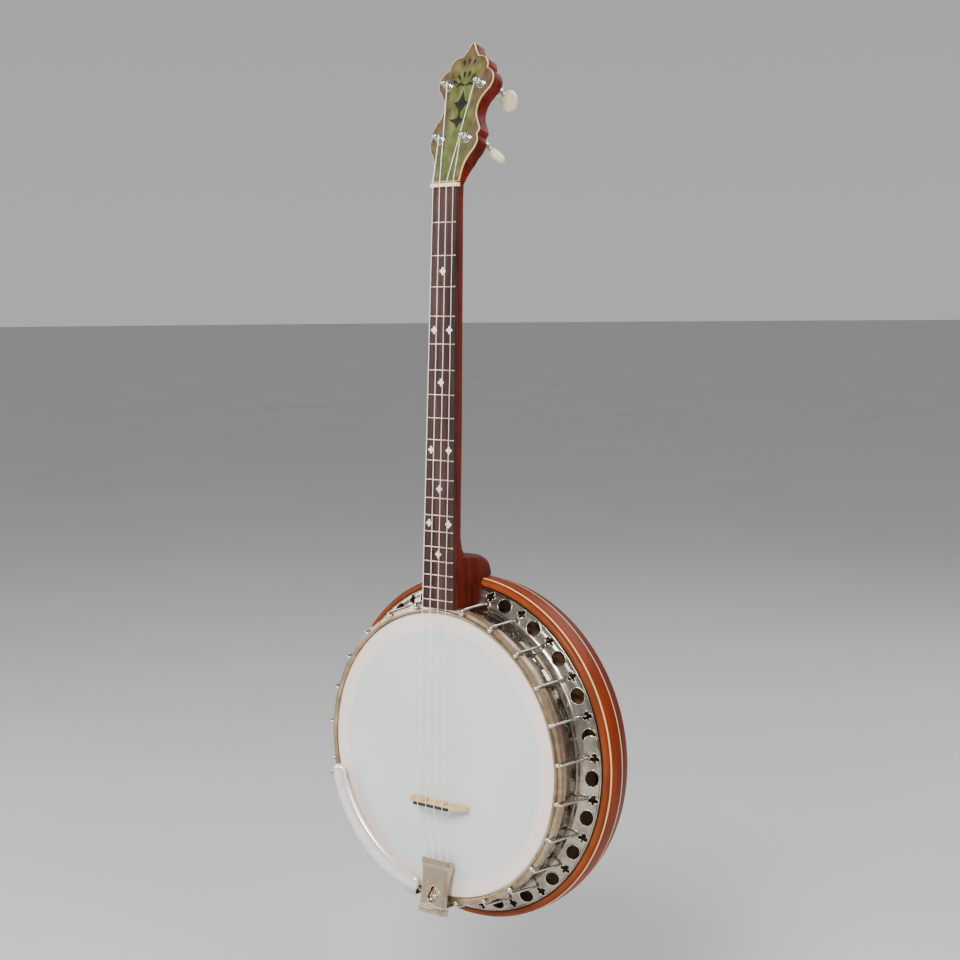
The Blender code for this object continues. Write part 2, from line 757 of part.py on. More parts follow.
def make_bridge():
    mirrored = [(-x, y) for x, y in reversed(BRIDGE_HALF[1:-1])]
    outline = list(BRIDGE_HALF) + mirrored
    rings = []
    for side in (-1, 1):
        ring = []
        for x, y in outline:
            taper = 1.0 - 0.5 * (y / BRIDGE_WOOD_Y)
            ring.append((x, y, side * taper * BRIDGE_THICKNESS / 2.0))
        rings.append(ring)
    place = shift(0.0, 0.0, BRIDGE_Z)
    add_object("bridge", loft_mesh("bridge", rings), MATERIALS["maple"], place)
    low = BRIDGE_WOOD_Y - GAP
    cap = [(BRIDGE_TOP_HALF, low)]
    cap.append((BRIDGE_TOP_HALF, BRIDGE_TOP_Y))
    for x in reversed(string_places(BRIDGE_STRING_SPACING)):
        cap += [(x + 0.8, BRIDGE_TOP_Y), (x + 0.8, BRIDGE_TOP_Y + 1.2)]
        cap += [(x - 0.8, BRIDGE_TOP_Y + 1.2), (x - 0.8, BRIDGE_TOP_Y)]
    cap += [(-BRIDGE_TOP_HALF, BRIDGE_TOP_Y), (-BRIDGE_TOP_HALF, low)]
    rings = [[(x, y, side * 1.3) for x, y in cap] for side in (-1, 1)]
    add_object("bridge_saddle", loft_mesh("bridge_saddle", rings), MATERIALS["ebony"], place)


STRING_POSTS = ("lower_left", "upper_left", "upper_right", "lower_right")


def on_headstock(x, up, height):
    """A point over the headstock's face, in the design's millimetres."""
    return (HEADSTOCK @ (Vector((x, up, height)) * MM)) / MM


def make_strings():
    """Each string from its post over the nut and the bridge to its peg in the tailpiece."""
    nut_y = NUT_TOP_Y + 0.7
    bridge_y = BRIDGE_TOP_Y + 0.2
    centres = dict(zip(TUNER_NAMES, tuner_centres()))
    nut_x = string_places(NUT_STRING_SPACING)
    bridge_x = string_places(BRIDGE_STRING_SPACING)
    tail_x = string_places(TAIL_STRING_SPACING)
    for index, post in enumerate(STRING_POSTS):
        x, up = centres[post]
        reach = POST_RADIUS + STRING_RADIUS + GAP
        start = on_headstock(x - math.copysign(reach, x), up, 6.6)
        route = [
            start,
            (nut_x[index], nut_y, NUT_DEPTH + 0.3),
            (nut_x[index], nut_y, -0.3),
            (bridge_x[index], bridge_y, BRIDGE_Z + 1.6),
            (bridge_x[index], bridge_y, BRIDGE_Z - 1.6),
            (tail_x[index], *TAIL_STRING_END),
        ]
        mesh = wire_mesh("string", route, STRING_RADIUS)
        add_object("string_%d" % (index + 1), mesh, MATERIALS["string_steel"])


# ---------------------------------------------------------------- tailpiece

# The tailpiece's frame is at its pin: X across, Y up along its plates and Z out of its face.
TAIL = shift(*TAIL_PIN) @ turn(90.0 - TAIL_LEAN_DEG, "X")
# Turns a plate drawn flat so that its own X runs along the tailpiece and its Y out of its face.
ON_EDGE = Matrix(((0, 0, 1, 0), (1, 0, 0, 0), (0, 1, 0, 0), (0, 0, 0, 1)))

BASE_HALF = ((11.8, 5.0), (11.8, 24.0), (16.4, 36.0), (16.6, 43.0))
EAR_OUTLINE = (
    (16.0, -2.6),
    (16.0, -1.2),
    (7.0, -0.2),
    (1.6, 2.0),
    (1.0, 3.4),
    (-4.0, 3.4),
    (-4.0, 1.2),
    (-1.8, -2.6),
)
# The cover's plan, up from the fold: (distance, half width).
COVER_STATIONS = ((0.0, 15.3), (12.0, 14.9), (22.0, 15.1), (31.0, 16.2), (39.0, 18.0), (44.6, 18.6))
COVER_FLANGE = 4.4
COVER_HOLE = 9.0
SCREW_PROFILE = (
    (0.0, 2.4),
    (1.8, 2.1),
    (3.2, 1.2),
    (3.2, 0.4),
    (1.6, 0.4),
    (1.6, -1.3),
    (0.0, -1.3),
)


def make_bracket():
    """The strap that the coordinator rod holds, with the pin that the tailpiece tilts on."""
    z = HEAD_CENTRE_Z - STRAP_RADIUS
    strap = box_mesh("strap", (-STRAP_HALF_WIDTH, -15.0, z - 1.0), (STRAP_HALF_WIDTH, 54.0, z + 1.0))
    bracket = add_object("tailpiece_bracket", strap, MATERIALS["nickel"])
    cut(bracket, rod_mesh("rod_hole", ROD_RADIUS + 0.4, -160.0, -140.0), rod_frame())
    add(bracket, rod_mesh("pin", PIN_RADIUS, -13.6, 13.6), shift(*TAIL_PIN) @ turn(90.0, "Y"))


def make_tail_base():
    """The plate under the strings, its two ears round the pin, and the front apron that they carry."""
    outline = list(BASE_HALF) + [(-x, y) for x, y in reversed(BASE_HALF)]
    plate = plate_mesh("tailpiece_base", [outline], 1.5)
    plate.transform(shift(0.0, 0.0, -2.35))
    base = add_object("tailpiece_base", plate, MATERIALS["nickel"], TAIL)
    ear = plate_mesh("ear", [EAR_OUTLINE, circle((0.0, 0.0), PIN_RADIUS + 0.4, 12)], 1.6)
    for side in (-1, 1):
        add(base, ear, TAIL @ shift(side * 11.2, 0.0, 0.0) @ ON_EDGE)
    low, high = FOLD[1] - TAIL_PLATE / 2.0, FOLD[1] + TAIL_PLATE / 2.0
    apron = box_mesh("apron", (-15.6, -4.5, low), (15.6, 1.5, high))
    add(base, apron, TAIL)
    for side in (-1, 1):
        cheek = box_mesh("cheek", (side * 15.0 - 0.6, -4.5, -4.0), (side * 15.0 + 0.6, 1.4, high))
        add(base, cheek, TAIL)
    peg = rod_mesh("peg", 1.0, -2.0, 1.0, sides=8)
    pegs = [(peg, shift(x, 37.9, 0.0)) for x in string_places(TAIL_STRING_SPACING)]
    add(base, joined_mesh("pegs", pegs), TAIL)


def make_tail_cover():
    """A shallow tray over the string ends, rolled round its hinge at the fold."""
    rings = []
    front = TAIL_PLATE / 2.0
    for along, half in COVER_STATIONS:
        inner = half - 1.1
        section = [(half, front), (half, -COVER_FLANGE), (inner, -COVER_FLANGE), (inner, -front)]
        section += [(-x, z) for x, z in reversed(section)]
        rings.append([(x, along, z) for x, z in section])
    place = TAIL @ shift(0.0, *FOLD)
    tray = loft_mesh("tailpiece_cover", rings)
    cover = add_object("tailpiece_cover", tray, MATERIALS["aged_nickel"], place)
    add(cover, rod_mesh("rolled_edge", 0.95, -15.0, 15.0), place @ turn(90.0, "Y"))
    cut(cover, rod_mesh("screw_window", 4.6, -3.0, 3.0, sides=16), place @ shift(0.0, COVER_HOLE, 0.0))
    screw_place = TAIL @ shift(0.0, FOLD[0] + COVER_HOLE, 0.0)
    turned("tailpiece_screw", SCREW_PROFILE, MATERIALS["nickel"], screw_place, steps=12, closed=False)


# ---------------------------------------------------------------- armrest


def make_armrest():
    """A bent bar with rounded ends, widest in its middle."""
    span = ARMREST_END_DEG - ARMREST_START_DEG
    stations = [(0.0, 0.45), (0.012, 0.8), (0.035, 1.0)]
    stations += [(0.035 + 0.93 * i / 8.0, 1.0) for i in range(1, 9)]
    stations += [(0.988, 0.8), (1.0, 0.45)]
    rings = []
    for along, size in stations:
        angle = math.radians(ARMREST_START_DEG + span * along)
        half = (6.8 + 2.2 * math.sin(math.pi * along)) * size
        ring = []
        for i in range(10):
            about = 2.0 * math.pi * (i + 0.5) / 10
            radius = ARMREST_RADIUS + half * math.cos(about)
            y = ARMREST_Y + ARMREST_HALF_THICKNESS * size * math.sin(about)
            ring.append((radius * math.sin(angle), y, HEAD_CENTRE_Z + radius * math.cos(angle)))
        rings.append(ring)
    add_object("armrest", loft_mesh("armrest", rings), MATERIALS["nickel"])


CLAMP_OUTLINE = (
    (131.0, -5.4),
    (147.2, -5.4),
    (147.2, 10.4),
    (142.9, 10.4),
    (142.9, 9.0),
    (145.8, 9.0),
    (145.8, -4.0),
    (131.0, -4.0),
)


def make_clamps():
    """Straps that hang from the armrest and hook under the tension hoop."""
    rings = [[(r, across, y) for r, y in CLAMP_OUTLINE] for across in (-6.0, 6.0)]
    mesh = loft_mesh("armrest_clamp", rings)
    for index, angle in enumerate(CLAMP_ANGLES_DEG):
        add_object("armrest_clamp_%d" % (index + 1), mesh, MATERIALS["nickel"], pot_at(angle))


# ---------------------------------------------------------------- assembly

make_neck()
make_overlay()
make_fingerboard()
make_nut()
for tuner_name, tuner_centre, tuner_turn in zip(TUNER_NAMES, tuner_centres(), BUTTON_TURNS_DEG):
    make_tuner(tuner_name, tuner_centre, tuner_turn)
make_pot()
make_rod()
make_hooks()
make_bridge()
make_strings()
make_bracket()
make_tail_base()
make_tail_cover()
make_armrest()
make_clamps()

root = bpy.data.objects.new("banjo_origin", None)
banjo.objects.link(root)
root.matrix_world = shift(*(-value for value in HANGER_SEAT))
for child in list(banjo.objects) + list(cutters.objects):
    if child != root:
        child.parent = root
bpy.context.view_layer.update()
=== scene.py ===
"""Looks for a four-string tenor resonator banjo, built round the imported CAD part.

Shapes are drawn in the design's millimetres, X across the fingerboard, Y from the head's playing
surface towards the resonator's back and Z up from the nut, then moved into the row's frame.
"""

from math import atan, copysign, cos, degrees, hypot, pi, radians, sin, sqrt

import bmesh
import bpy
from mathutils import Matrix, Vector


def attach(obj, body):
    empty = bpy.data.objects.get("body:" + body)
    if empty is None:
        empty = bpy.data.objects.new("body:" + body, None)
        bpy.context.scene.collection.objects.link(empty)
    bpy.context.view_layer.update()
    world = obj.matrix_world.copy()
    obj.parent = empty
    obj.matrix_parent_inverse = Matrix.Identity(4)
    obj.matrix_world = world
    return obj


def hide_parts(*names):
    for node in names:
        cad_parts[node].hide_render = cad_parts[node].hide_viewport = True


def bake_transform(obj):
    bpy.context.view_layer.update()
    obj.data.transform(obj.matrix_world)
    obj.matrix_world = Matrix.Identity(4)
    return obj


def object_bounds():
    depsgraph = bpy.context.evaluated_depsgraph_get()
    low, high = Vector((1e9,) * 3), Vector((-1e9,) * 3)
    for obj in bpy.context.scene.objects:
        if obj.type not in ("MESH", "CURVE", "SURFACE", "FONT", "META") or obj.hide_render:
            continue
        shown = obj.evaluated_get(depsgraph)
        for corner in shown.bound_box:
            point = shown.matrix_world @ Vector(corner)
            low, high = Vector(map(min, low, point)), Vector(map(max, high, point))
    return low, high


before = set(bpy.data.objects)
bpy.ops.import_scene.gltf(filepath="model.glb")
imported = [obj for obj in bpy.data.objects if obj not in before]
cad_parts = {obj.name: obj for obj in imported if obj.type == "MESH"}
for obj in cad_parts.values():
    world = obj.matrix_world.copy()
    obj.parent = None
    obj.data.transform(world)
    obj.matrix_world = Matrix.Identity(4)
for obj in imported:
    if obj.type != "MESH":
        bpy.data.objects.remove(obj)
cad_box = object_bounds()

MM = 0.001
HANGER_SEAT = (0.0, 20.0, 22.0)

SCALE_LENGTH = 584.2
FRETS = 19
HEAD_CENTRE_Z = -540.0
BOARD_Y_AT_NUT = 12.4
BOARD_SLOPE = 0.0384
BOARD_THICKNESS = 4.0
BOARD_END_Z = -397.3
BOARD_HALF_AT_NUT = 15.2
BOARD_HALF_AT_END = 19.0
GAP = 0.3
NUT_HALF_WIDTH = 16.4
NUT_TOP_Y = 10.2
NUT_DEPTH = 3.6
HEEL_END_Z = -400.8
NECK_FULLNESS = 1.0
HEEL_FULLNESS = 0.55
HEADSTOCK_LEAN_DEG = 18.2
HEADSTOCK_START = 5.4
OVERLAY_THICKNESS = 1.6
HEADSTOCK_THICKNESS = 13.5
TUNER_PLACES = ((20.0, 102.0), (16.5, 48.0))
TUNER_NAMES = ("upper_left", "upper_right", "lower_left", "lower_right")
TUNER_HOLE_RADIUS = 4.9
BUTTON_TURNS_DEG = (70.0, 80.0, 20.0, -40.0)
STRING_HEIGHT = 6.5
RING_STEPS = 192
HOOK_COUNT = 24
NECK_GAP_DEG = 23.5
HOOK_STEP_DEG = (360.0 - NECK_GAP_DEG) / (HOOK_COUNT - 1)
HOOK_FOOT_RADIUS = 149.2
ROD_Y = 48.0
ROD_RADIUS = 3.0
STRAP_RADIUS = 150.5
NUT_STRING_SPACING = 8.3
BRIDGE_STRING_SPACING = 10.35
TAIL_STRING_SPACING = 8.8
BRIDGE_TOP_Y = -17.0
BRIDGE_Z = -SCALE_LENGTH - 2.4
BRIDGE_WOOD_Y = -14.8
TAIL_PIN = (0.0, -12.6, -688.6)
TAIL_LEAN_DEG = 10.5
FOLD = (2.8, 3.6)
TAIL_STRING_END = (-4.7, -650.0)
ARMREST_RADIUS = 131.6
ARMREST_Y = -9.6
ARMREST_START_DEG = -101.8
ARMREST_END_DEG = -170.3
ARMREST_HALF_THICKNESS = 3.8
CLAMP_ANGLES_DEG = (253.15, 194.63)


def shift(x=0.0, y=0.0, z=0.0):
    return Matrix.Translation(Vector((x, y, z)) * MM)


def turn(angle, axis):
    """A rotation by an angle in degrees."""
    return Matrix.Rotation(radians(angle), 4, axis)


ROW = shift(*(-value for value in HANGER_SEAT))
POT = ROW @ shift(z=HEAD_CENTRE_Z) @ turn(-90.0, "X")
HEADSTOCK = ROW @ shift(y=BOARD_Y_AT_NUT) @ turn(90.0 - HEADSTOCK_LEAN_DEG, "X")
ROD_FRAME = ROW @ shift(0.0, ROD_Y, HEAD_CENTRE_Z)
TAIL = ROW @ shift(*TAIL_PIN) @ turn(90.0 - TAIL_LEAN_DEG, "X")
COVER = TAIL @ shift(0.0, *FOLD)
ON_EDGE = Matrix(((0, 0, 1, 0), (1, 0, 0, 0), (0, 1, 0, 0), (0, 0, 0, 1)))
STILL = Matrix.Identity(4)


def pot_at(angle):
    """The pot's frame turned so that local X points out at this angle from the top."""
    return POT @ turn(angle - 90.0, "Z")


def hook_angle(index):
    return NECK_GAP_DEG / 2.0 + HOOK_STEP_DEG * index


def board_y(z):
    return BOARD_Y_AT_NUT + BOARD_SLOPE * min(z, 0.0)


def board_half(z):
    along = min(max(z / BOARD_END_Z, 0.0), 1.0)
    return BOARD_HALF_AT_NUT + (BOARD_HALF_AT_END - BOARD_HALF_AT_NUT) * along


def fret_z(number):
    """A fret's place: each one stops the string a twelfth root of two shorter."""
    return -SCALE_LENGTH * (1.0 - 2.0 ** (-number / 12.0))


def string_places(spacing):
    return [(index - 1.5) * spacing for index in range(4)]


def tuner_centres():
    return [(side * x, up) for x, up in TUNER_PLACES for side in (-1, 1)]


def angles(count):
    """Even steps round a whole turn, in radians."""
    return [2.0 * pi * i / count for i in range(count)]


def mirrored(half, shared=0):
    """A right half's points, then the left's back to the start, with the shared ends drawn once."""
    return half + [(-x, y) for x, y in reversed(half[shared : len(half) - shared])]


def linked(name, data):
    """A new object in the scene."""
    made = bpy.data.objects.new(name, data)
    bpy.context.scene.collection.objects.link(made)
    return made


def on_headstock(x, up, height):
    """A point over the headstock's face, in the design's millimetres."""
    return (ROW.inverted() @ HEADSTOCK @ (Vector((x, up, height)) * MM)) / MM


# ---- materials

MATERIALS = {}


class Paint:
    """A Principled material and the few node moves that its procedural detail needs."""

    def __init__(self, name, colour, roughness, metallic=0.0, **more):
        self.material = MATERIALS[name] = bpy.data.materials.new(name)
        self.material.use_nodes = True
        self.tree = self.material.node_tree
        self.shader = self.tree.nodes["Principled BSDF"]
        settings = {"Base Color": colour, "Roughness": roughness, "Metallic": metallic, **more}
        for socket, value in settings.items():
            self.put(value, self.shader.inputs[socket.replace("_", " ")])
        self.coordinates = self.node("ShaderNodeTexCoord").outputs["Object"]

    def node(self, kind, inputs=(), **settings):
        made = self.tree.nodes.new(kind)
        for key, value in settings.items():
            setattr(made, key, value)
        for key, value in dict(inputs).items():
            self.put(value, made.inputs[key])
        return made

    def put(self, value, target):
        """Links another node's output to a socket, or sets its number, vector or colour."""
        if isinstance(value, bpy.types.NodeSocket):
            self.tree.links.new(value, target)
        else:
            target.default_value = (*value, 1.0) if target.type == "RGBA" else value

    def feed(self, source, socket="Base Color"):
        self.put(source, self.shader.inputs[socket])

    def stretched(self, scale, centre=(0.0, 0.0, 0.0)):
        moved = [-c * s for c, s in zip(centre, scale)]
        inputs = {"Scale": scale, "Location": moved, "Vector": self.coordinates}
        return self.node("ShaderNodeMapping", inputs).outputs["Vector"]

    def noise(self, scale, detail=4.0, rough=0.55, distortion=0.0, vector=None):
        inputs = {"Scale": 1.0, "Detail": detail, "Roughness": rough, "Distortion": distortion}
        inputs["Vector"] = vector or self.stretched(scale)
        return self.node("ShaderNodeTexNoise", inputs).outputs["Fac"]

    def ramp(self, source, stops):
        made = self.node("ShaderNodeValToRGB", {"Fac": source})
        elements = made.color_ramp.elements
        while len(elements) < len(stops):
            elements.new(0.5)
        for element, (place, colour) in zip(elements, stops):
            element.position = place
            grey = isinstance(colour, float)
            element.color = (colour, colour, colour, 1.0) if grey else (*colour, 1.0)
        return made.outputs["Color"]

    def tint(self, scale, stops, *noise):
        """The base colour runs through the stops with a noise, which is handed back."""
        source = self.noise(scale, *noise)
        self.feed(self.ramp(source, stops))
        return source

    def mix(self, amount, first, second, kind="MIX"):
        inputs = {0: amount, 6: first, 7: second}
        return self.node("ShaderNodeMix", inputs, data_type="RGBA", blend_type=kind).outputs[2]

    def math(self, operation, first, second=0.0):
        return self.node("ShaderNodeMath", {0: first, 1: second}, operation=operation).outputs[0]

    def times(self, value, factor):
        return self.math("MULTIPLY", value, factor)

    def axes(self, centre=(0.0, 0.0, 0.0)):
        inputs = {0: self.stretched((1.0, 1.0, 1.0), centre)}
        return self.node("ShaderNodeSeparateXYZ", inputs).outputs

    def bump(self, height, strength, distance):
        """Raises the surface, on top of any bump that the shader already has."""
        inputs = {"Strength": strength, "Distance": distance, "Height": height}
        for before in self.shader.inputs["Normal"].links:
            inputs["Normal"] = before.from_socket
        self.feed(self.node("ShaderNodeBump", inputs).outputs["Normal"], "Normal")


POT_CENTRE = (0.0, -HANGER_SEAT[1] * MM, (HEAD_CENTRE_Z - HANGER_SEAT[2]) * MM)


def radius_of(paint):
    """Distance from the pot's axis, and depth behind the head, in metres."""
    x, y, z = paint.axes(POT_CENTRE)
    squares = paint.math("ADD", paint.times(x, x), paint.times(z, z))
    return paint.math("SQRT", squares), y


def wood(name, dark, light, along, coat, roughness=0.35, pores=0.5, figure=0.35):
    """Grain drawn out along one axis, a slow figure across it, and open pores."""
    paint = Paint(name, light, roughness, Coat_Weight=coat, Coat_Roughness=0.15, Specular_IOR_Level=0.14)
    fine, broad = [420.0] * 3, [70.0] * 3
    fine[along], broad[along] = 14.0, 3.0
    grain = paint.noise(broad, 5.0, 0.6, 0.6)
    colour = paint.ramp(grain, ((0.30, dark), (0.72, light)))
    flame = paint.ramp(paint.noise((26.0, 26.0, 26.0), 2.0, 0.5, 1.2), ((0.35, 0.45), (0.7, 1.25)))
    colour = paint.mix(figure, colour, flame, "MULTIPLY")
    streak = paint.ramp(paint.noise(fine, 3.0), ((0.36, 0.35), (0.50, 1.0)))
    paint.feed(paint.mix(pores, colour, streak, "MULTIPLY"))
    paint.bump(streak, 0.12, 0.0002)


def metal(name, clean, tarnish, amount, low, high, cloud=45.0, metallic=1.0):
    """Plate with cloudy tarnish, a roughness between low and high that follows it, and fine scratches."""
    paint = Paint(name, clean, low, metallic)
    clouds = paint.noise((cloud, cloud, cloud), 6.0, 0.62, 0.4)
    worn = paint.ramp(clouds, ((0.42, 0.0), (0.68, amount)))
    paint.feed(paint.mix(worn, clean, tarnish))
    fine = paint.noise((900.0, 900.0, 260.0), 3.0)
    spread = paint.mix(0.35, clouds, fine)
    paint.feed(paint.ramp(spread, ((0.35, low), (0.7, high))), "Roughness")
    paint.bump(fine, 0.05, 0.0001)


# A wood's name, dark and light, the axis of its grain, coat, roughness, pores and figure.
WOODS = (
    ("mahogany", (0.060, 0.005, 0.003), (0.27, 0.022, 0.006), 2, 0.02, 0.5, 0.5, 0.7),
    ("rosewood", (0.030, 0.012, 0.011), (0.115, 0.052, 0.045), 2, 0.05, 0.5, 0.5, 0.3),
    ("maple", (0.62, 0.36, 0.15), (0.86, 0.60, 0.32), 0, 0.1, 0.5, 0.15, 0.15),
    ("ebony", (0.012, 0.009, 0.008), (0.05, 0.036, 0.03), 0, 0.3, 0.35, 0.3),
    ("rim_wood", (0.40, 0.22, 0.10), (0.60, 0.38, 0.20), 2, 0.4, 0.35, 0.5, 0.2),
)
# A metal's name, clean and tarnished colours, most tarnish, roughness from and to, clouds, metallic.
METALS = (
    ("nickel", (0.72, 0.69, 0.64), (0.40, 0.33, 0.25), 0.55, 0.10, 0.26),
    ("flange_plate", (0.46, 0.42, 0.35), (0.17, 0.14, 0.10), 0.9, 0.12, 0.32, 60.0),
    ("skirt_plate", (0.40, 0.39, 0.35), (0.16, 0.14, 0.11), 0.9, 0.10, 0.28, 50.0),
    ("aged_nickel", (0.52, 0.41, 0.28), (0.26, 0.17, 0.09), 0.85, 0.24, 0.46, 70.0),
    # The armrest's near-white clean colour, lighter than the other nickel, is partly a painted reflection.
    ("armrest_plate", (1.0, 0.97, 0.95), (0.84, 0.74, 0.62), 0.5, 0.18, 0.34, 30.0, 0.6),
    ("string_steel", (0.98, 0.96, 0.92), (0.84, 0.76, 0.62), 0.4, 0.22, 0.36, 45.0, 0.1),
    ("fret_metal", (0.90, 0.76, 0.52), (0.62, 0.48, 0.28), 0.4, 0.20, 0.34),
    ("cover_plate", (0.62, 0.51, 0.38), (0.38, 0.29, 0.18), 0.7, 0.2, 0.38, 80.0),
    ("steel", (0.50, 0.50, 0.50), (0.28, 0.25, 0.22), 0.6, 0.3, 0.45),
)


def make_sunburst():
    """Stained wood that darkens from the back's middle out, and round the wall to the back; a lighter band
    at the lip's front edge is a painted highlight.
    """
    paint = Paint(
        "sunburst", (0.4, 0.06, 0.01), 0.42, Coat_Weight=0.05, Coat_Roughness=0.18, Specular_IOR_Level=0.1
    )
    radius, depth = radius_of(paint)
    x, _, z = paint.axes(POT_CENTRE)
    around = paint.math("ARCTAN2", x, z)
    inputs = {0: paint.times(around, 1.6), 1: paint.times(depth, 190.0)}
    rolled_out = paint.node("ShaderNodeCombineXYZ", inputs).outputs[0]
    wall_grain = paint.noise(None, 5.0, 0.6, 0.3, rolled_out)
    back_grain = paint.noise((70.0, 70.0, 4.0), 5.0, 0.6, 0.8)
    on_wall = paint.ramp(paint.times(radius, 5.0), ((0.78, 0.0), (0.80, 1.0)))
    wall = paint.ramp(
        paint.times(depth, 10.0),
        (
            # The first stop, at the lip's front edge, is lighter than the next: a painted highlight on the
            # rounded lip.
            (0.41, (0.25, 0.056, 0.014)),
            (0.435, (0.21, 0.031, 0.007)),
            (0.50, (0.28, 0.036, 0.004)),
            (0.62, (0.19, 0.016, 0.002)),
            (0.70, (0.18, 0.017, 0.003)),
            (0.84, (0.075, 0.006, 0.002)),
        ),
    )
    back = paint.ramp(
        paint.times(radius, 5.0),
        (
            (0.10, (0.62, 0.22, 0.035)),
            (0.42, (0.45, 0.095, 0.015)),
            (0.66, (0.20, 0.022, 0.008)),
            (0.80, (0.10, 0.012, 0.006)),
        ),
    )
    colour = paint.mix(on_wall, back, wall)
    grain = paint.mix(on_wall, back_grain, wall_grain)
    shade = paint.ramp(grain, ((0.30, 0.55), (0.70, 1.25)))
    flame = paint.ramp(paint.noise((34.0, 34.0, 11.0), 2.0, 0.5, 1.5), ((0.3, 0.72), (0.7, 1.18)))
    colour = paint.mix(0.75, colour, shade, "MULTIPLY")
    paint.feed(paint.mix(0.75, colour, flame, "MULTIPLY"))
    paint.bump(grain, 0.05, 0.0002)


def make_pearloid():
    """Green and gold swirls that turn brown towards the sides and the crown."""
    paint = Paint(
        "pearloid", (0.3, 0.33, 0.1), 0.3, Coat_Weight=0.2, Coat_Roughness=0.12, Specular_IOR_Level=0.25
    )
    inputs = {"Scale": 1.0, "Vector": paint.stretched((150.0, 150.0, 90.0))}
    cells = paint.node("ShaderNodeTexVoronoi", inputs, feature="SMOOTH_F1").outputs["Distance"]
    shimmer = paint.mix(0.5, paint.noise((60.0, 60.0, 40.0), 3.0, 0.6, 2.0), cells)
    green = paint.ramp(
        shimmer,
        ((0.25, (0.045, 0.055, 0.010)), (0.48, (0.100, 0.115, 0.024)), (0.70, (0.20, 0.22, 0.070))),
    )
    x, _, z = paint.axes()
    edge = paint.times(paint.math("ABSOLUTE", x), 26.0)
    high = paint.times(paint.math("SUBTRACT", z, 0.068), 14.0)
    amount = paint.math("MAXIMUM", edge, high)
    amount = paint.math("ADD", amount, paint.times(paint.noise((50.0, 50.0, 50.0)), 0.5))
    amount = paint.ramp(amount, ((0.46, 0.0), (0.86, 0.95)))
    brown = paint.ramp(shimmer, ((0.25, (0.055, 0.028, 0.012)), (0.7, (0.17, 0.095, 0.045))))
    paint.feed(paint.mix(amount, green, brown))


def make_inlay_and_plastics():
    paint = Paint("dark_inlay", (0.03, 0.025, 0.02), 0.4, Specular_IOR_Level=0.15)
    paint.tint((200.0, 200.0, 60.0), ((0.3, (0.008, 0.007, 0.005)), (0.7, (0.03, 0.025, 0.02))))
    paint = Paint("pearl", (0.85, 0.82, 0.74), 0.18, Coat_Weight=0.7, Coat_Roughness=0.05)
    stops = ((0.3, (0.62, 0.66, 0.62)), (0.5, (0.90, 0.88, 0.80)), (0.7, (0.86, 0.74, 0.68)))
    paint.tint((420.0, 420.0, 300.0), stops, 2.0, 0.5, 3.0)
    paint = Paint("cream", (0.80, 0.62, 0.38), 0.35, Coat_Weight=0.5, Coat_Roughness=0.1)
    paint.tint((80.0, 80.0, 80.0), ((0.3, (0.86, 0.58, 0.22)), (0.7, (1.0, 0.78, 0.40))))
    glow = {"Subsurface_Weight": 0.08, "Subsurface_Radius": (0.002, 0.0012, 0.0006)}
    paint = Paint("bone", (0.85, 0.76, 0.54), 0.35, **glow)
    stops = ((0.3, (0.84, 0.66, 0.36)), (0.65, (0.98, 0.90, 0.66)))
    paint.bump(paint.tint((60.0, 500.0, 500.0), stops, 3.0), 0.06, 0.0002)
    glow = {"Subsurface_Weight": 0.1, "Subsurface_Radius": (0.003, 0.002, 0.001)}
    paint = Paint("ivoroid", (0.9, 0.84, 0.62), 0.25, Coat_Weight=0.3, **glow)
    paint.tint((320.0, 320.0, 25.0), ((0.35, (0.93, 0.74, 0.40)), (0.65, (1.0, 0.92, 0.66))), 2.0, 0.4)


def make_head_skin():
    """Blue-white, with a warmer ring near the rim whose edge wanders a little."""
    paint = Paint("head_skin", (0.75, 0.77, 0.77), 0.5)
    radius, _ = radius_of(paint)
    mottled = paint.noise((9.0, 9.0, 9.0), 4.0, 0.5)
    soft = paint.math("ADD", radius, paint.times(paint.math("SUBTRACT", mottled, 0.5), 0.004))
    ring = paint.ramp(
        paint.times(soft, 5.0),
        (
            (0.590, (0.70, 0.735, 0.74)),
            (0.625, (0.93, 0.80, 0.745)),
            (0.670, (0.95, 0.81, 0.74)),
            (0.690, (0.93, 0.82, 0.72)),
        ),
    )
    stain = paint.ramp(mottled, ((0.3, 0.93), (0.7, 1.03)))
    paint.feed(paint.mix(1.0, ring, stain, "MULTIPLY"))
    grain = paint.noise((1500.0, 1500.0, 1500.0), 2.0)
    paint.bump(grain, 0.15, 0.0001)
    paint.feed(paint.ramp(grain, ((0.3, 0.42), (0.7, 0.6))), "Roughness")


def make_materials():
    for row in WOODS:
        wood(*row)
    make_sunburst()
    paint = Paint("resonator_inside", (0.10, 0.055, 0.035), 0.75)
    paint.tint((60.0, 60.0, 6.0), ((0.3, (0.34, 0.20, 0.14)), (0.7, (0.62, 0.40, 0.28))))
    paint.bump(paint.noise((300.0, 300.0, 30.0)), 0.2, 0.0003)
    make_pearloid()
    make_inlay_and_plastics()
    make_head_skin()
    for row in METALS:
        metal(*row)


make_materials()

# ---- mesh helpers


def finished(name, bm, smooth_deg=38.0):
    """A clean mesh from the bmesh, smooth except at edges sharper than the angle."""
    bmesh.ops.remove_doubles(bm, verts=bm.verts, dist=0.002 * MM)
    bmesh.ops.recalc_face_normals(bm, faces=bm.faces)
    mesh = bpy.data.meshes.new(name)
    bm.to_mesh(mesh)
    bm.free()
    shade(mesh, smooth_deg)
    return mesh


def shade(mesh, smooth_deg):
    mesh.shade_smooth()
    mesh.set_sharp_from_angle(angle=radians(smooth_deg))


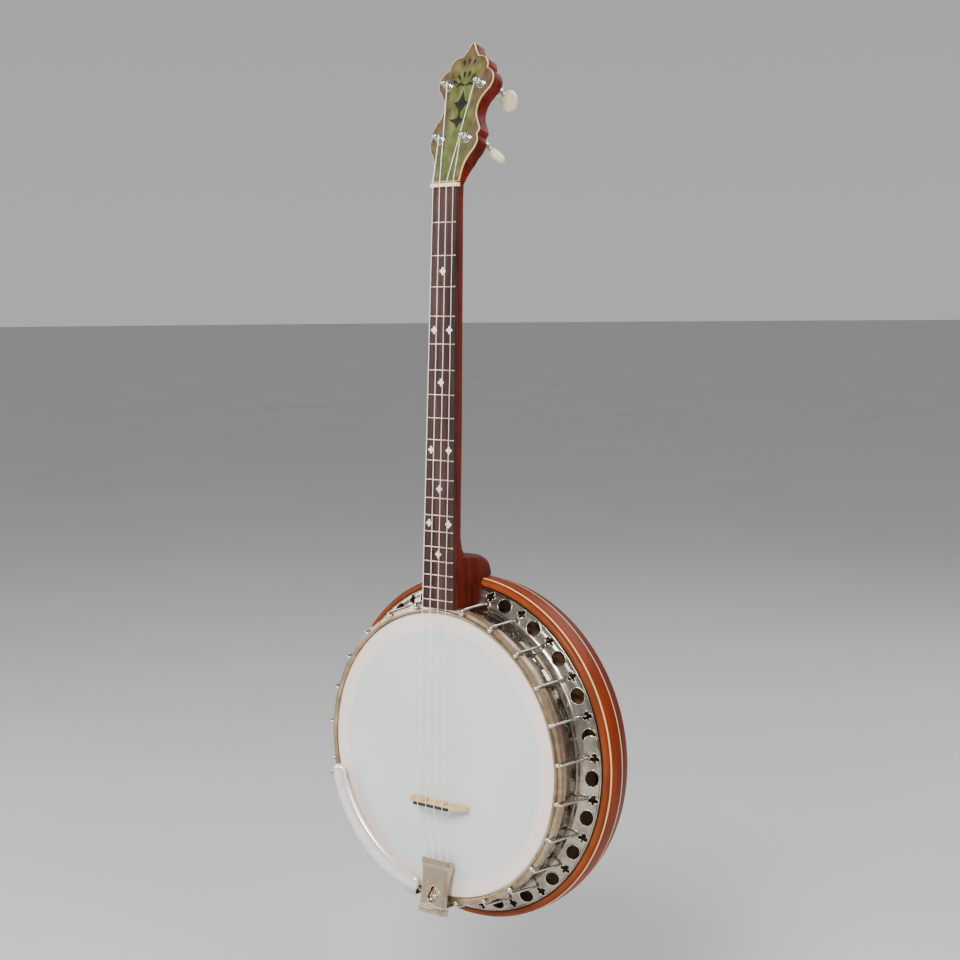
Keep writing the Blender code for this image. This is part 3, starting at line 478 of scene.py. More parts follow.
def skin(bm, rings, caps=True, ring_closed=True, row_closed=False):
    """Faces through rings of points in millimetres."""
    made = [[bm.verts.new(Vector(point) * MM) for point in ring] for ring in rings]
    rows = list(zip(made, made[1:])) + ([(made[-1], made[0])] if row_closed else [])
    count = len(made[0])
    for lower, upper in rows:
        for i in range(count if ring_closed else count - 1):
            j = (i + 1) % count
            bm.faces.new((lower[i], lower[j], upper[j], upper[i]))
    if caps and not row_closed:
        bm.faces.new(made[0][::-1])
        bm.faces.new(made[-1])
    return bm


def loft(name, rings, smooth_deg=38.0, **how):
    return finished(name, skin(bmesh.new(), rings, **how), smooth_deg)


def lathe(name, profile, steps=RING_STEPS, smooth_deg=32.0):
    """A shape turned about local Z, from (radius, height) pairs.

    The profile is either a loop or runs from the axis back to the axis.
    """
    turns = [radians(360.0 * i / steps) for i in range(steps)]
    rings = [[(r * cos(a), r * sin(a), h) for r, h in profile] for a in turns]
    return loft(name, rings, smooth_deg, caps=False, ring_closed=profile[0][0] > 0.0, row_closed=True)


def at(outline, z):
    """An outline's points in space at one height."""
    return [(x, y, z) for x, y in outline]


def circle(centre, radius, sides):
    return [(centre[0] + radius * cos(a), centre[1] + radius * sin(a)) for a in angles(sides)]


def plate(name, outlines, thickness, bevel=0.0, smooth_deg=38.0):
    """A flat plate from outlines in local X and Y, centred on Z = 0, its later outlines holes."""
    curve = bpy.data.curves.new(name, "CURVE")
    curve.dimensions = "2D"
    curve.fill_mode = "BOTH"
    curve.extrude = (thickness / 2.0 - bevel) * MM
    curve.bevel_depth = bevel * MM
    curve.offset = -bevel * MM
    curve.bevel_resolution = 1
    for outline in outlines:
        spline = curve.splines.new("POLY")
        spline.points.add(len(outline) - 1)
        for point, (x, y) in zip(spline.points, outline):
            point.co = (x * MM, y * MM, 0.0, 1.0)
        spline.use_cyclic_u = True
    return from_curve(name, curve, smooth_deg)


def evaluated(obj):
    """A new mesh of what the object's curve or its modifiers make."""
    bpy.context.view_layer.update()
    graph = bpy.context.evaluated_depsgraph_get()
    return bpy.data.meshes.new_from_object(obj.evaluated_get(graph))


def from_curve(name, curve, smooth_deg):
    holder = linked(name, curve)
    made = evaluated(holder)
    bpy.data.objects.remove(holder)
    bpy.data.curves.remove(curve)
    bm = bmesh.new()
    bm.from_mesh(made)
    bpy.data.meshes.remove(made)
    return finished(name, bm, smooth_deg)


def wire(name, points, radius, sizes=None, resolution=3, cyclic=False):
    """A wire through the points, whose thickness may vary by sizes."""
    curve = bpy.data.curves.new(name, "CURVE")
    curve.dimensions = "3D"
    curve.bevel_depth = radius * MM
    curve.bevel_resolution = resolution
    curve.use_fill_caps = True
    spline = curve.splines.new("POLY")
    spline.points.add(len(points) - 1)
    for i, (point, place) in enumerate(zip(spline.points, points)):
        point.co = (*(Vector(place) * MM), 1.0)
        point.radius = sizes[i] if sizes else 1.0
    spline.use_cyclic_u = cyclic
    return from_curve(name, curve, 50.0)


def rounded(points, pieces=6, corners=()):
    """A smooth curve through the points, in even steps of each gap, turning sharply at the corners."""
    rows = [Vector(point) for point in points]
    gaps = [(after - before).length for before, after in zip(rows, rows[1:])]
    pace = [(after - before) / gap for before, after, gap in zip(rows, rows[1:], gaps)]
    out = []
    for i, gap in enumerate(gaps):
        leave, arrive = pace[i], pace[i]
        if i and i not in corners:
            leave = (pace[i - 1] * gap + pace[i] * gaps[i - 1]) / (gap + gaps[i - 1])
        if i + 1 < len(gaps) and i + 1 not in corners:
            arrive = (pace[i] * gaps[i + 1] + pace[i + 1] * gap) / (gap + gaps[i + 1])
        for step in range(pieces):
            t = step / pieces
            start = rows[i] * (2 * t**3 - 3 * t**2 + 1) + leave * gap * (t**3 - 2 * t**2 + t)
            out.append(tuple(start + rows[i + 1] * (3 * t**2 - 2 * t**3) + arrive * gap * (t**3 - t**2)))
    out.append(tuple(rows[-1]))
    return out


def inset(outline, distance):
    """The closed outline, drawn anticlockwise, moved inwards."""
    if not distance:
        return outline
    out = []
    for i, (x, y) in enumerate(outline):
        before, after = Vector(outline[i - 1]), Vector(outline[(i + 1) % len(outline)])
        here = Vector((x, y))
        first, second = (here - before).normalized(), (after - here).normalized()
        across = first + second
        share = max(0.5, (1.0 + first.dot(second)) / 2.0)
        inward = Vector((-across.y, across.x)).normalized() / sqrt(share)
        out.append(tuple(here + inward * distance))
    return out


def joined(name, pieces, smooth_deg=38.0):
    """One mesh from (mesh, matrix) pairs."""
    bm = bmesh.new()
    for mesh, matrix in pieces:
        before = len(bm.verts)
        bm.from_mesh(mesh)
        bm.verts.ensure_lookup_table()
        bmesh.ops.transform(bm, matrix=matrix, verts=bm.verts[before:])
    return finished(name, bm, smooth_deg)


def carved(name, mesh, cuts=(), adds=(), smooth_deg=35.0):
    """The mesh with others in the same frame added to it and then others cut from it."""
    body = linked(name, mesh)
    changes = [("UNION", other) for other in adds] + [("DIFFERENCE", other) for other in cuts]
    helpers = [linked(name + "_helper", other) for _, other in changes]
    for (operation, _), helper in zip(changes, helpers):
        modifier = body.modifiers.new("change", "BOOLEAN")
        modifier.operation = operation
        modifier.solver = "EXACT"
        modifier.object = helper
    made = evaluated(body)
    for leftover in (body, *helpers):
        bpy.data.objects.remove(leftover)
    made.materials.clear()
    shade(made, smooth_deg)
    made.name = name
    return made


def box(low, high, bevel=0.0):
    bm = bmesh.new()
    bmesh.ops.create_cube(bm, size=1.0)
    size = [b - a for a, b in zip(low, high)]
    middle = [(a + b) / 2.0 for a, b in zip(low, high)]
    bmesh.ops.scale(bm, vec=Vector(size) * MM, verts=bm.verts)
    bmesh.ops.translate(bm, vec=Vector(middle) * MM, verts=bm.verts)
    if bevel:
        bmesh.ops.bevel(bm, geom=bm.edges, offset=bevel * MM, segments=2, affect="EDGES", profile=0.6)
    return finished("box", bm)


def rod(radius, low, high, sides=32, bevel=0.0):
    profile = [(0.0, low), (radius, low), (radius, high), (0.0, high)]
    if bevel:
        profile[1:3] = [(radius - bevel, low), (radius, low + bevel)]
        profile[3:3] = [(radius, high - bevel), (radius - bevel, high)]
    return lathe("rod", profile, sides, 38.0)


def piece(name, mesh, finish, matrix, body="banjo", stands_for=()):
    """A visible piece in its place, riding on its body, with the CAD nodes that it stands for."""
    mesh = mesh.copy()
    mesh.name = name
    mesh.transform(matrix)
    obj = linked(name, mesh)
    mesh.materials.clear()
    mesh.materials.append(MATERIALS[finish])
    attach(obj, body)
    if stands_for:
        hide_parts(*stands_for)
    return obj


# ---- neck and headstock

HEADSTOCK_HALF = (
    (16.4, HEADSTOCK_START), (17.2, 17.0), (18.6, 24.0), (22.0, 31.0), (26.6, 38.0), (28.6, 46.0),
    (26.6, 51.4), (28.8, 56.5), (25.4, 63.0), (21.4, 70.0), (20.2, 77.5), (21.6, 85.0), (26.2, 92.5),
    (31.2, 98.5), (33.0, 104.5), (31.8, 110.5), (28.0, 115.2), (23.0, 117.6), (22.6, 122.0), (20.2, 126.6),
    (15.8, 129.6), (9.4, 130.8), (5.8, 135.6), (2.6, 141.0), (0.9, 144.3),
)
HEADSTOCK_CORNERS = (6, 7, 17, 21)
NECK_DEPTHS = (
    (4.3, 15.4), (-120.0, 17.0), (-250.0, 18.2), (-322.0, 18.0), (-336.0, 18.4), (-343.0, 19.8),
    (-347.0, 24.2), (-348.8, 37.0), (-351.3, 49.6), (-357.4, 59.2), (-366.0, 63.4), (-378.8, 66.0),
)
NECK_SIDES = 36
HEEL_START_Z = -330.0
HEEL_BLEND = 30.0
# The headstock's back slopes in to the neck from this depth behind its face at its foot.
FOOT_DEPTH = 8.5
FOOT_SLOPE_DEG = 18.5
BINDING_WIDTH = 0.35


def headstock_outline():
    return mirrored(rounded(HEADSTOCK_HALF, 5, HEADSTOCK_CORNERS))


def neck_ring(z, depth):
    """A flat top under the fingerboard and a rounded back, which is squarer at the heel."""
    top = board_y(z) + BOARD_THICKNESS + GAP
    if z > NUT_DEPTH + 1.0:
        top += 4.5
    heel = min(max((HEEL_START_Z - z) / HEEL_BLEND, 0.0), 1.0)
    fullness = NECK_FULLNESS + (HEEL_FULLNESS - NECK_FULLNESS) * heel
    half = board_half(z) + (1.0 if z > 0.0 else 0.0)
    ring = []
    for i in range(NECK_SIDES + 1):
        angle = pi * i / NECK_SIDES
        across = copysign(abs(cos(angle)) ** fullness, cos(angle))
        ring.append((half * across, top + depth * abs(sin(angle)) ** fullness, z))
    return ring


def placed(mesh, matrix):
    mesh.transform(matrix)
    return mesh


def make_neck():
    stations = [(17.0, 11.0), (4.7, 11.2)] + rounded(NECK_DEPTHS, 6)
    stations += [(-379.1, 55.0), (HEEL_END_Z, 54.0)]
    wood_middle = -(OVERLAY_THICKNESS + GAP + HEADSTOCK_THICKNESS / 2.0)
    wood = plate("wood", [headstock_outline()], HEADSTOCK_THICKNESS, 0.5)
    foot = placed(box((-40.0, -20.0, -40.0), (40.0, 60.0, 0.0)), turn(-FOOT_SLOPE_DEG, "X"))
    foot.transform(shift(0.0, HEADSTOCK_START, -FOOT_DEPTH))
    wood = carved("wood", placed(wood, shift(z=wood_middle)), [foot])
    drill = rod(TUNER_HOLE_RADIUS, -40.0, 5.0)
    holes = joined("holes", [(drill, shift(x, up, 0.0)) for x, up in tuner_centres()])
    seat = lathe("seat", [(160.7, 40.8), (169.5, 40.8), (169.5, 110.0), (160.7, 110.0)])
    cuts = (
        placed(holes, HEADSTOCK),
        placed(box((-25.0, -20.0, -420.0), (25.0, 26.2, BOARD_END_Z)), ROW),
        placed(rod(ROD_RADIUS + 0.4, 130.0, 158.4), ROD_FRAME),
        placed(seat, POT),
    )
    body = placed(loft("neck", [neck_ring(z, depth) for z, depth in stations]), ROW)
    mesh = carved("neck", body, cuts, [placed(wood, HEADSTOCK)])
    piece("neck_wood", mesh, "mahogany", STILL, stands_for=["neck"])
    block = box((BOARD_HALF_AT_END - 0.2, 27.0, -399.8), (BOARD_HALF_AT_END + 0.7, 41.5, -377.5), 0.3)
    piece("heel_shim", block, "mahogany", ROW)


# Each fan of drops: its centre up the headstock, its radius, the degrees between drops, how many
# drops and their size.
ORNAMENT_FANS = ((104.0, 21.0, 17.0, 3, 1.0), (98.0, 14.0, 24.0, 6, 1.25))
SWAG_HALF = ((0.2, -1.2), (2.4, -0.5), (5.2, 1.2), (8.2, -0.2), (10.8, -3.4), (11.2, -4.2), (8.2, -3.1))
SWAG_HALF += ((5.0, -2.0), (2.2, -2.9), (0.2, -3.4))
# The middle figure's right half, from its foot up: a lozenge with wings over a smaller one.
MOTIF_HALF = (
    (0.0, 57.5), (1.7, 60.5), (3.4, 63.2), (7.2, 64.6), (11.2, 68.0), (6.2, 67.6), (2.0, 69.0), (1.5, 74.5),
    (3.4, 77.5), (4.2, 79.4), (6.6, 81.6), (9.6, 84.4), (6.0, 84.8), (3.8, 86.6), (2.2, 90.5), (0.0, 96.5),
)


def make_overlay():
    outline = headstock_outline()
    inner = inset(outline, BINDING_WIDTH)
    holes = [circle(place, TUNER_HOLE_RADIUS, 32) for place in tuner_centres()]
    face = HEADSTOCK @ shift(z=-OVERLAY_THICKNESS / 2.0)
    veneer = plate("veneer", [inner, *holes], OVERLAY_THICKNESS)
    piece("headstock_veneer", veneer, "pearloid", face, stands_for=["headstock_overlay"])
    edge = plate("edge", [outline, inset(outline, BINDING_WIDTH + 0.02)], OVERLAY_THICKNESS)
    piece("headstock_binding", edge, "cream", face)
    drops = []
    for along, reach, spread, count, size in ORNAMENT_FANS:
        for i in range(count):
            lean = (i - (count - 1) / 2.0) * spread
            place = shift(y=along) @ turn(-lean, "Z") @ shift(y=reach)
            drops.append((plate("drop", [teardrop(size)], 0.2), place))
    for side in (-1, 1):
        swag = plate("swag", [[(side * x, y) for x, y in rounded(SWAG_HALF, 4, (0, 5))]], 0.2)
        drops.append((swag, shift(side * 0.3, 103.6, 0.0)))
    drops.append((plate("motif", [motif_outline()], 0.2), STILL))
    mesh = joined("ornament", drops)
    piece("headstock_ornament", mesh, "dark_inlay", HEADSTOCK @ shift(z=0.02))


def motif_outline():
    return mirrored(rounded(MOTIF_HALF, 3, (4, 11)), 1)


def teardrop(size):
    points = []
    for a in angles(24):
        points.append((1.7 * size * sin(a) * sin(a / 2.0) ** 1.4, -3.1 * size * cos(a)))
    return points


FRET_HALF_WIDTH = 0.7
# The frets' sections: the share of the half length, and of the full height.
FRET_SECTIONS = ((-1.0, 0.35), (-0.985, 0.75), (-0.96, 1.0), (0.96, 1.0), (0.985, 0.75), (1.0, 0.35))


def fret_bar(z):
    """A crowned bar across the board with rounded ends."""
    half, y = board_half(z) - 0.25, board_y(z)
    rings = []
    for across, size in FRET_SECTIONS:
        ring = [(half * across, y + 0.2, z + side * FRET_HALF_WIDTH) for side in (-1, 1)]
        for i in range(9):
            a = pi * i / 8
            rise = (0.1 + 0.85 * sin(a)) * size
            ring.append((half * across, y - rise, z + FRET_HALF_WIDTH * cos(a)))
        rings.append(ring)
    return loft("fret", rings, 50.0)


def diamond():
    """A pearl inlay of four pointed petals."""
    points = []
    for a in angles(32):
        reach = 3.8 * (0.52 + 0.48 * abs(cos(2.0 * a)) ** 1.2)
        points.append((reach * cos(a), reach * sin(a)))
    return points


BOARD_CORNER = 0.6
# The inlaid frets, and how far from the middle a pair of inlays lies.
INLAYS = ((3, 0.0), (5, 9.5), (7, 0.0), (10, 11.0), (12, 0.0), (14, 12.2), (16, 0.0))


def board_ring(z, edge):
    """The fingerboard's section: flat, with its upper corners rounded off."""
    half, top = board_half(z) - edge, board_y(z) + edge
    corner = [(pi / 2.0) * i / 5 for i in range(6)]
    section = [(half, board_y(z) + BOARD_THICKNESS - edge)]
    for a in corner:
        section.append((half - BOARD_CORNER * (1.0 - cos(a)), top + BOARD_CORNER * (1.0 - sin(a))))
    return at(mirrored(section), z)


def make_fingerboard():
    ends = ((-GAP, 0.35), (-GAP - 0.15, 0.12), (-GAP - 0.35, 0.0))
    stations = [*ends, *((fret_z(number), 0.0) for number in range(1, FRETS + 1))]
    stations += [(BOARD_END_Z - GAP - z, edge) for z, edge in reversed(ends)]
    rings = [board_ring(z, edge) for z, edge in stations]
    piece("fingerboard_wood", loft("board", rings), "rosewood", ROW, stands_for=["fingerboard"])
    bars = [(fret_bar(fret_z(number)), STILL) for number in range(1, FRETS + 1)]
    piece("frets", joined("frets", bars, 50.0), "fret_metal", ROW)
    inlays = []
    flat = turn(90.0 - degrees(atan(BOARD_SLOPE)), "X")
    for number, spread in INLAYS:
        z = (fret_z(number) + fret_z(number - 1)) / 2.0
        for x in (-spread, spread) if spread else (0.0,):
            inlays.append((plate("diamond", [diamond()], 0.5), shift(x, board_y(z) + 0.17, z) @ flat))
    piece("fret_markers", joined("markers", inlays), "pearl", ROW)


def notched(corner, spacing, top, depth, half, foot):
    """A corner's points, a slot in the top edge for each string, and the same on the left."""
    for x in (1.5 * spacing, 0.5 * spacing):
        corner += [(x + half, top), (x + foot, top + depth), (x - foot, top + depth), (x - half, top)]
    return mirrored(corner)


def make_nut():
    bottom = BOARD_Y_AT_NUT + BOARD_THICKNESS
    corner = [(NUT_HALF_WIDTH, bottom), (NUT_HALF_WIDTH, NUT_TOP_Y + 1.2)]
    corner += [(NUT_HALF_WIDTH - 0.4, NUT_TOP_Y + 0.4), (NUT_HALF_WIDTH - 1.2, NUT_TOP_Y)]
    outline = notched(corner, NUT_STRING_SPACING, NUT_TOP_Y, 1.3, 0.8, 0.5)
    rings = []
    for z, drop in ((0.0, 0.35), (0.4, 0.0), (NUT_DEPTH - 0.5, 0.1), (NUT_DEPTH, 0.6)):
        rings.append([(x, y + (drop if y < bottom else 0.0), z) for x, y in outline])
    piece("nut_bone", loft("nut", rings), "bone", ROW, stands_for=["nut"])


# ---- tuners and strings

BUSHING_PROFILE = (
    (3.3, 3.4), (3.9, 3.4), (4.5, 3.0), (4.8, 2.3), (4.8, 1.3), (5.4, 1.0), (5.7, 0.6), (5.7, 0.1),
    (4.5, 0.1), (4.5, -15.6), (6.8, -15.7), (7.2, -16.1), (7.2, -18.0), (6.8, -18.4), (6.8, -19.0),
    (7.2, -19.4), (7.2, -24.8), (6.6, -26.0), (5.4, -27.0), (3.4, -27.4),
)
POST_PROFILE = (
    (0.0, 11.0), (1.2, 10.95), (2.1, 10.6), (2.75, 9.9), (3.0, 9.1), (2.85, 8.3), (2.3, 7.7), (2.1, 7.2),
    (2.1, 5.4), (2.4, 4.8), (3.0, 4.4), (3.0, -14.0), (0.0, -14.0),
)
STEM_PROFILE = (
    (0.0, -15.0), (2.6, -15.0), (2.6, -27.8), (4.0, -27.9), (4.6, -28.4), (4.6, -30.2), (4.0, -30.9),
    (3.2, -31.2), (3.2, -33.4), (0.0, -33.4),
)
# The button's sections: height along the peg, half width and half thickness.
BUTTON_SECTIONS = (
    (-31.2, 2.4, 2.4), (-31.4, 3.4, 3.2), (-32.8, 4.6, 3.7), (-36.0, 7.8, 4.4), (-40.0, 10.0, 4.8),
    (-45.0, 10.7, 4.8), (-50.0, 9.2, 4.2), (-53.0, 6.1, 3.0), (-54.1, 3.2, 1.7), (-54.35, 0.8, 0.6),
)
STRING_POSTS = ("lower_left", "upper_left", "upper_right", "lower_right")
STRING_RADII = (0.42, 0.38, 0.34, 0.30)
STRING_RESOLUTION = 3
COIL_RADIUS = 2.35
COIL_WIRE_RADIUS = 0.38
BRIDGE_TRAVEL = 2.0


def make_tuner(name, centre, button_turn):
    place = HEADSTOCK @ shift(*centre, 0.0)
    post_body, button_body = "tuner_post_" + name, "tuner_button_" + name
    housing = lathe("housing", BUSHING_PROFILE, 64)
    piece("peg_housing_" + name, housing, "nickel", place, stands_for=["tuner_housing_" + name])
    post = lathe("post", POST_PROFILE, 48)
    eye = placed(rod(0.55, -5.0, 5.0, 16), shift(z=9.4) @ turn(90.0, "Y"))
    post = carved("post", post, [eye])
    piece("peg_post_" + name, post, "nickel", place, post_body, stands_for=[post_body])
    coil = []
    for i in range(61):
        a = 2.0 * pi * i / 20.0
        coil.append((COIL_RADIUS * cos(a), COIL_RADIUS * sin(a), 5.5 + 0.85 * i / 30.0))
    piece("peg_winding_" + name, wire("coil", coil, COIL_WIRE_RADIUS), "string_steel", place, post_body)
    turned = place @ turn(button_turn, "Z")
    stem = lathe("stem", STEM_PROFILE, 48)
    piece("peg_stem_" + name, stem, "nickel", turned, button_body)
    rings = []
    for height, half, thick in rounded(BUTTON_SECTIONS, 4):
        rings.append([(half * cos(a), thick * sin(a), height) for a in angles(48)])
    button = loft("button", rings)
    piece("peg_button_" + name, button, "ivoroid", turned, button_body, stands_for=[button_body])


def make_strings():
    """Each string from its post over the nut and the bridge to its peg in the tailpiece."""
    nut_y, bridge_y = NUT_TOP_Y + 0.7, BRIDGE_TOP_Y + 0.2
    centres = dict(zip(TUNER_NAMES, tuner_centres()))
    tops = zip(string_places(NUT_STRING_SPACING), string_places(BRIDGE_STRING_SPACING))
    for index, (nut_x, bridge_x) in enumerate(tops):
        x, up = centres[STRING_POSTS[index]]
        end = Vector((string_places(TAIL_STRING_SPACING)[index], *TAIL_STRING_END))
        over = Vector((bridge_x, bridge_y, BRIDGE_Z - 1.6 - BRIDGE_TRAVEL))
        route = [
            on_headstock(x - copysign(3.0, x), up + 0.6, STRING_HEIGHT),
            (nut_x, nut_y, NUT_DEPTH + 0.3),
            (nut_x, nut_y, -0.3),
            (bridge_x, bridge_y, BRIDGE_Z + 1.6),
        ]
        route += [over.lerp(end, i / 12.0) for i in range(13)]
        mesh = wire("string", route, STRING_RADII[index], resolution=STRING_RESOLUTION)
        name = "string_%d" % (index + 1)
        obj = linked(name + "_wire", placed(mesh, ROW))
        mesh.materials.append(MATERIALS["string_steel"])
        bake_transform(obj)
        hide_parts(name)


# ---- pot

HEAD_PROFILE = (
    (0.0, 0.0), (100.0, 0.0), (135.6, 0.0), (136.9, 0.1), (137.7, 0.4), (138.1, 1.0), (138.1, 4.9),
    (140.4, 4.9), (140.4, 7.6), (137.7, 7.6), (137.7, 1.0), (137.2, 0.6), (0.0, 0.6),
)
HOOP_PROFILE = (
    (138.6, -2.3), (138.8, -2.65), (139.2, -2.8), (140.6, -2.8), (141.05, -2.65), (141.2, -2.3),
    (141.2, 0.6), (141.6, 0.8), (144.3, 0.8), (144.8, 1.0), (145.0, 1.5), (145.0, 2.4), (144.5, 2.6),
    (144.5, 3.2), (145.0, 3.4), (145.0, 6.6), (144.6, 6.8), (144.6, 7.3), (145.0, 7.5), (145.0, 8.0),
    (144.7, 8.3), (140.8, 8.3), (140.8, 4.5), (138.6, 4.5),
)
TONE_RING_PROFILE = (
    (128.0, 3.0), (131.0, 0.9), (136.6, 0.9), (137.3, 1.6), (137.3, 9.2), (141.8, 9.2), (142.2, 9.6),
    (142.2, 16.8), (141.7, 17.0), (141.7, 17.6), (142.2, 17.8), (142.2, 25.1), (141.8, 25.5), (138.9, 25.5),
    (138.9, 13.6), (128.0, 13.6),
)
FLANGE_FRONT = (
    (138.9, 25.9), (143.0, 25.9), (143.5, 28.5), (144.0, 31.5), (145.3, 33.8), (147.4, 35.3), (154.4, 37.8),
    (159.2, 40.2), (160.0, 39.9), (160.7, 40.3), (161.0, 41.2),
)
FLANGE_BACK = (
    (161.0, 42.4), (159.8, 42.3), (153.8, 39.4), (146.2, 36.6), (143.4, 34.6), (142.4, 32.0), (141.8, 27.4),
    (138.9, 27.4),
)
RESONATOR_OUTSIDE = (
    (161.4, 42.6), (161.9, 41.4), (163.0, 41.0), (165.2, 41.5), (166.9, 42.9), (168.3, 45.6), (168.9, 49.5),
    (168.8, 54.5), (168.2, 61.0), (167.0, 67.4), (165.4, 73.0), (163.8, 77.2), (161.2, 81.4), (158.4, 84.1),
    (154.6, 85.9), (112.0, 91.4), (78.0, 93.4), (45.0, 94.0), (0.0, 94.0),
)
RESONATOR_INSIDE = (
    (0.0, 89.0), (60.0, 88.6), (110.0, 86.4), (152.0, 80.6), (156.6, 76.5), (158.6, 72.0), (161.0, 62.0),
    (161.4, 56.0),
)
PURFLING_DEPTHS = (45.8, 64.1)
PURFLING_HALF_WIDTH = 0.75
LIP_DEPTH = 43.0
BACK_INSIDE_DEPTH = 70.0


def height_at(profile, radius):
    """A profile's height over a radius, for one whose radius only grows."""
    for (r, h), (further, beyond) in zip(profile, profile[1:]):
        if r <= radius <= further and further > r:
            return h + (beyond - h) * (radius - r) / (further - r)
    return profile[-1][1]


def on_flange(across, radial):
    """A point on the flange's front, in a frame whose X points out from the pot's axis."""
    return (radial, across, height_at(FLANGE_FRONT[1:], hypot(radial, across)))


OVAL_CENTRE = 152.6
OVAL_RADIUS = 8.1
OVAL_SQUEEZE = 0.78
HOOK_HOLE_RADIUS = 1.95
HOOK_RADIUS = 1.35
# The flange is drilled between these two depths behind the head.
DRILLED = (24.0, 50.0)
TREFOIL_RADIUS = 155.2
TREFOIL_OFFSET = 0.6
LOBES_DEG = (-90.0, 18.0, 162.0)
LOBE_REACH = 2.6
LOBE_RADIUS = 2.35
STEM_LENGTH = 5.6
STEM_HALF_WIDTH = 1.05


def trefoil():
    """A club of three lobes, with a stem that points clockwise round the pot (local Y)."""
    points = []
    for a in angles(60):
        reach = 1.5
        for lobe in LOBES_DEG:
            off = a - radians(lobe)
            inside = LOBE_RADIUS**2 - (LOBE_REACH * sin(off)) ** 2
            if cos(off) > 0.0 and inside > 0.0:
                reach = max(reach, LOBE_REACH * cos(off) + sqrt(inside))
        if sin(a) > 0.0:
            side = STEM_HALF_WIDTH / max(abs(cos(a)), 0.001)
            reach = max(reach, min(STEM_LENGTH / sin(a), side))
        points.append((reach * cos(a), reach * sin(a)))
    return points


def drilled(outline, low, high):
    return loft("drill", [at(outline, z) for z in (low, high)])


def beaded(outline, radius):
    """A bead round a hole in the flange, given its outline about the pot's axis."""
    return wire("bead", [on_flange(y, x) for x, y in outline], radius, resolution=2, cyclic=True)


def make_flange():
    front = [FLANGE_FRONT[0]] + rounded(FLANGE_FRONT[1:], 3)
    body = lathe("flange", front + list(FLANGE_BACK), 288)
    oval = [(OVAL_CENTRE + OVAL_SQUEEZE * x, y) for x, y in circle((0.0, 0.0), OVAL_RADIUS, 40)]
    leaf = [(TREFOIL_RADIUS + x, TREFOIL_OFFSET + y) for x, y in trefoil()]
    shaft = circle((HOOK_FOOT_RADIUS, 0.0), HOOK_HOLE_RADIUS, 16)
    shafts, holes, beads = [], [], []
    for index in range(HOOK_COUNT):
        about = turn(hook_angle(index) - 90.0, "Z")
        shafts.append((drilled(shaft, *DRILLED), about))
        holes.append((drilled(leaf, *DRILLED), about))
        beads.append((beaded(leaf, 0.32), about))
        if index < HOOK_COUNT - 1:
            between = turn(hook_angle(index) + HOOK_STEP_DEG / 2.0 - 90.0, "Z")
            holes.append((drilled(oval, *DRILLED), between))
            beads.append((beaded(oval, 0.45), between))
    gap = box((-19.2, 20.0, -402.5), (19.2, 60.0, -370.0))
    gap.transform(POT.inverted() @ ROW)
    cuts = [joined("holes", holes), joined("shafts", shafts), gap]
    mesh = carved("flange", body, cuts, smooth_deg=30.0)
    piece("flange_plate", mesh, "flange_plate", POT, stands_for=["flange"])
    piece("flange_beads", joined("beads", beads, 50.0), "nickel", POT)


def make_lugs():
    """Raised plates that half cover two of the round holes and hold the resonator."""
    for name, hole in (("right", 4.5), ("left", 18.5)):
        side = 1.0 if name == "right" else -1.0
        rings = []
        for lift in (0.2, 1.6):
            ring = []
            for across, radial in lug_outline():
                x, y, z = on_flange(side * across, radial)
                ring.append((x, y, z - lift))
            rings.append(ring)
        about = pot_at(hook_angle(0) + HOOK_STEP_DEG * hole)
        piece("resonator_lug_" + name, loft("lug", rings), "flange_plate", about)
        edge = [on_flange(side * across, radial) for across, radial in lug_outline()[:13]]
        bead = wire("bead", [(x, y, z - 1.5) for x, y, z in edge], 0.45, resolution=2)
        piece("resonator_lug_edge_" + name, bead, "nickel", about)


def lug_outline():
    """A tab that arches over the hole: (distance clockwise from the hole, radius)."""
    turns = [pi * i / 12 for i in range(13)]
    arch = [(4.5 - 5.5 * sin(a), 154.0 + 6.2 * cos(a)) for a in turns]
    return arch + [(13.0, 147.8), (13.6, 151.0), (13.6, 157.0), (13.0, 160.2)]


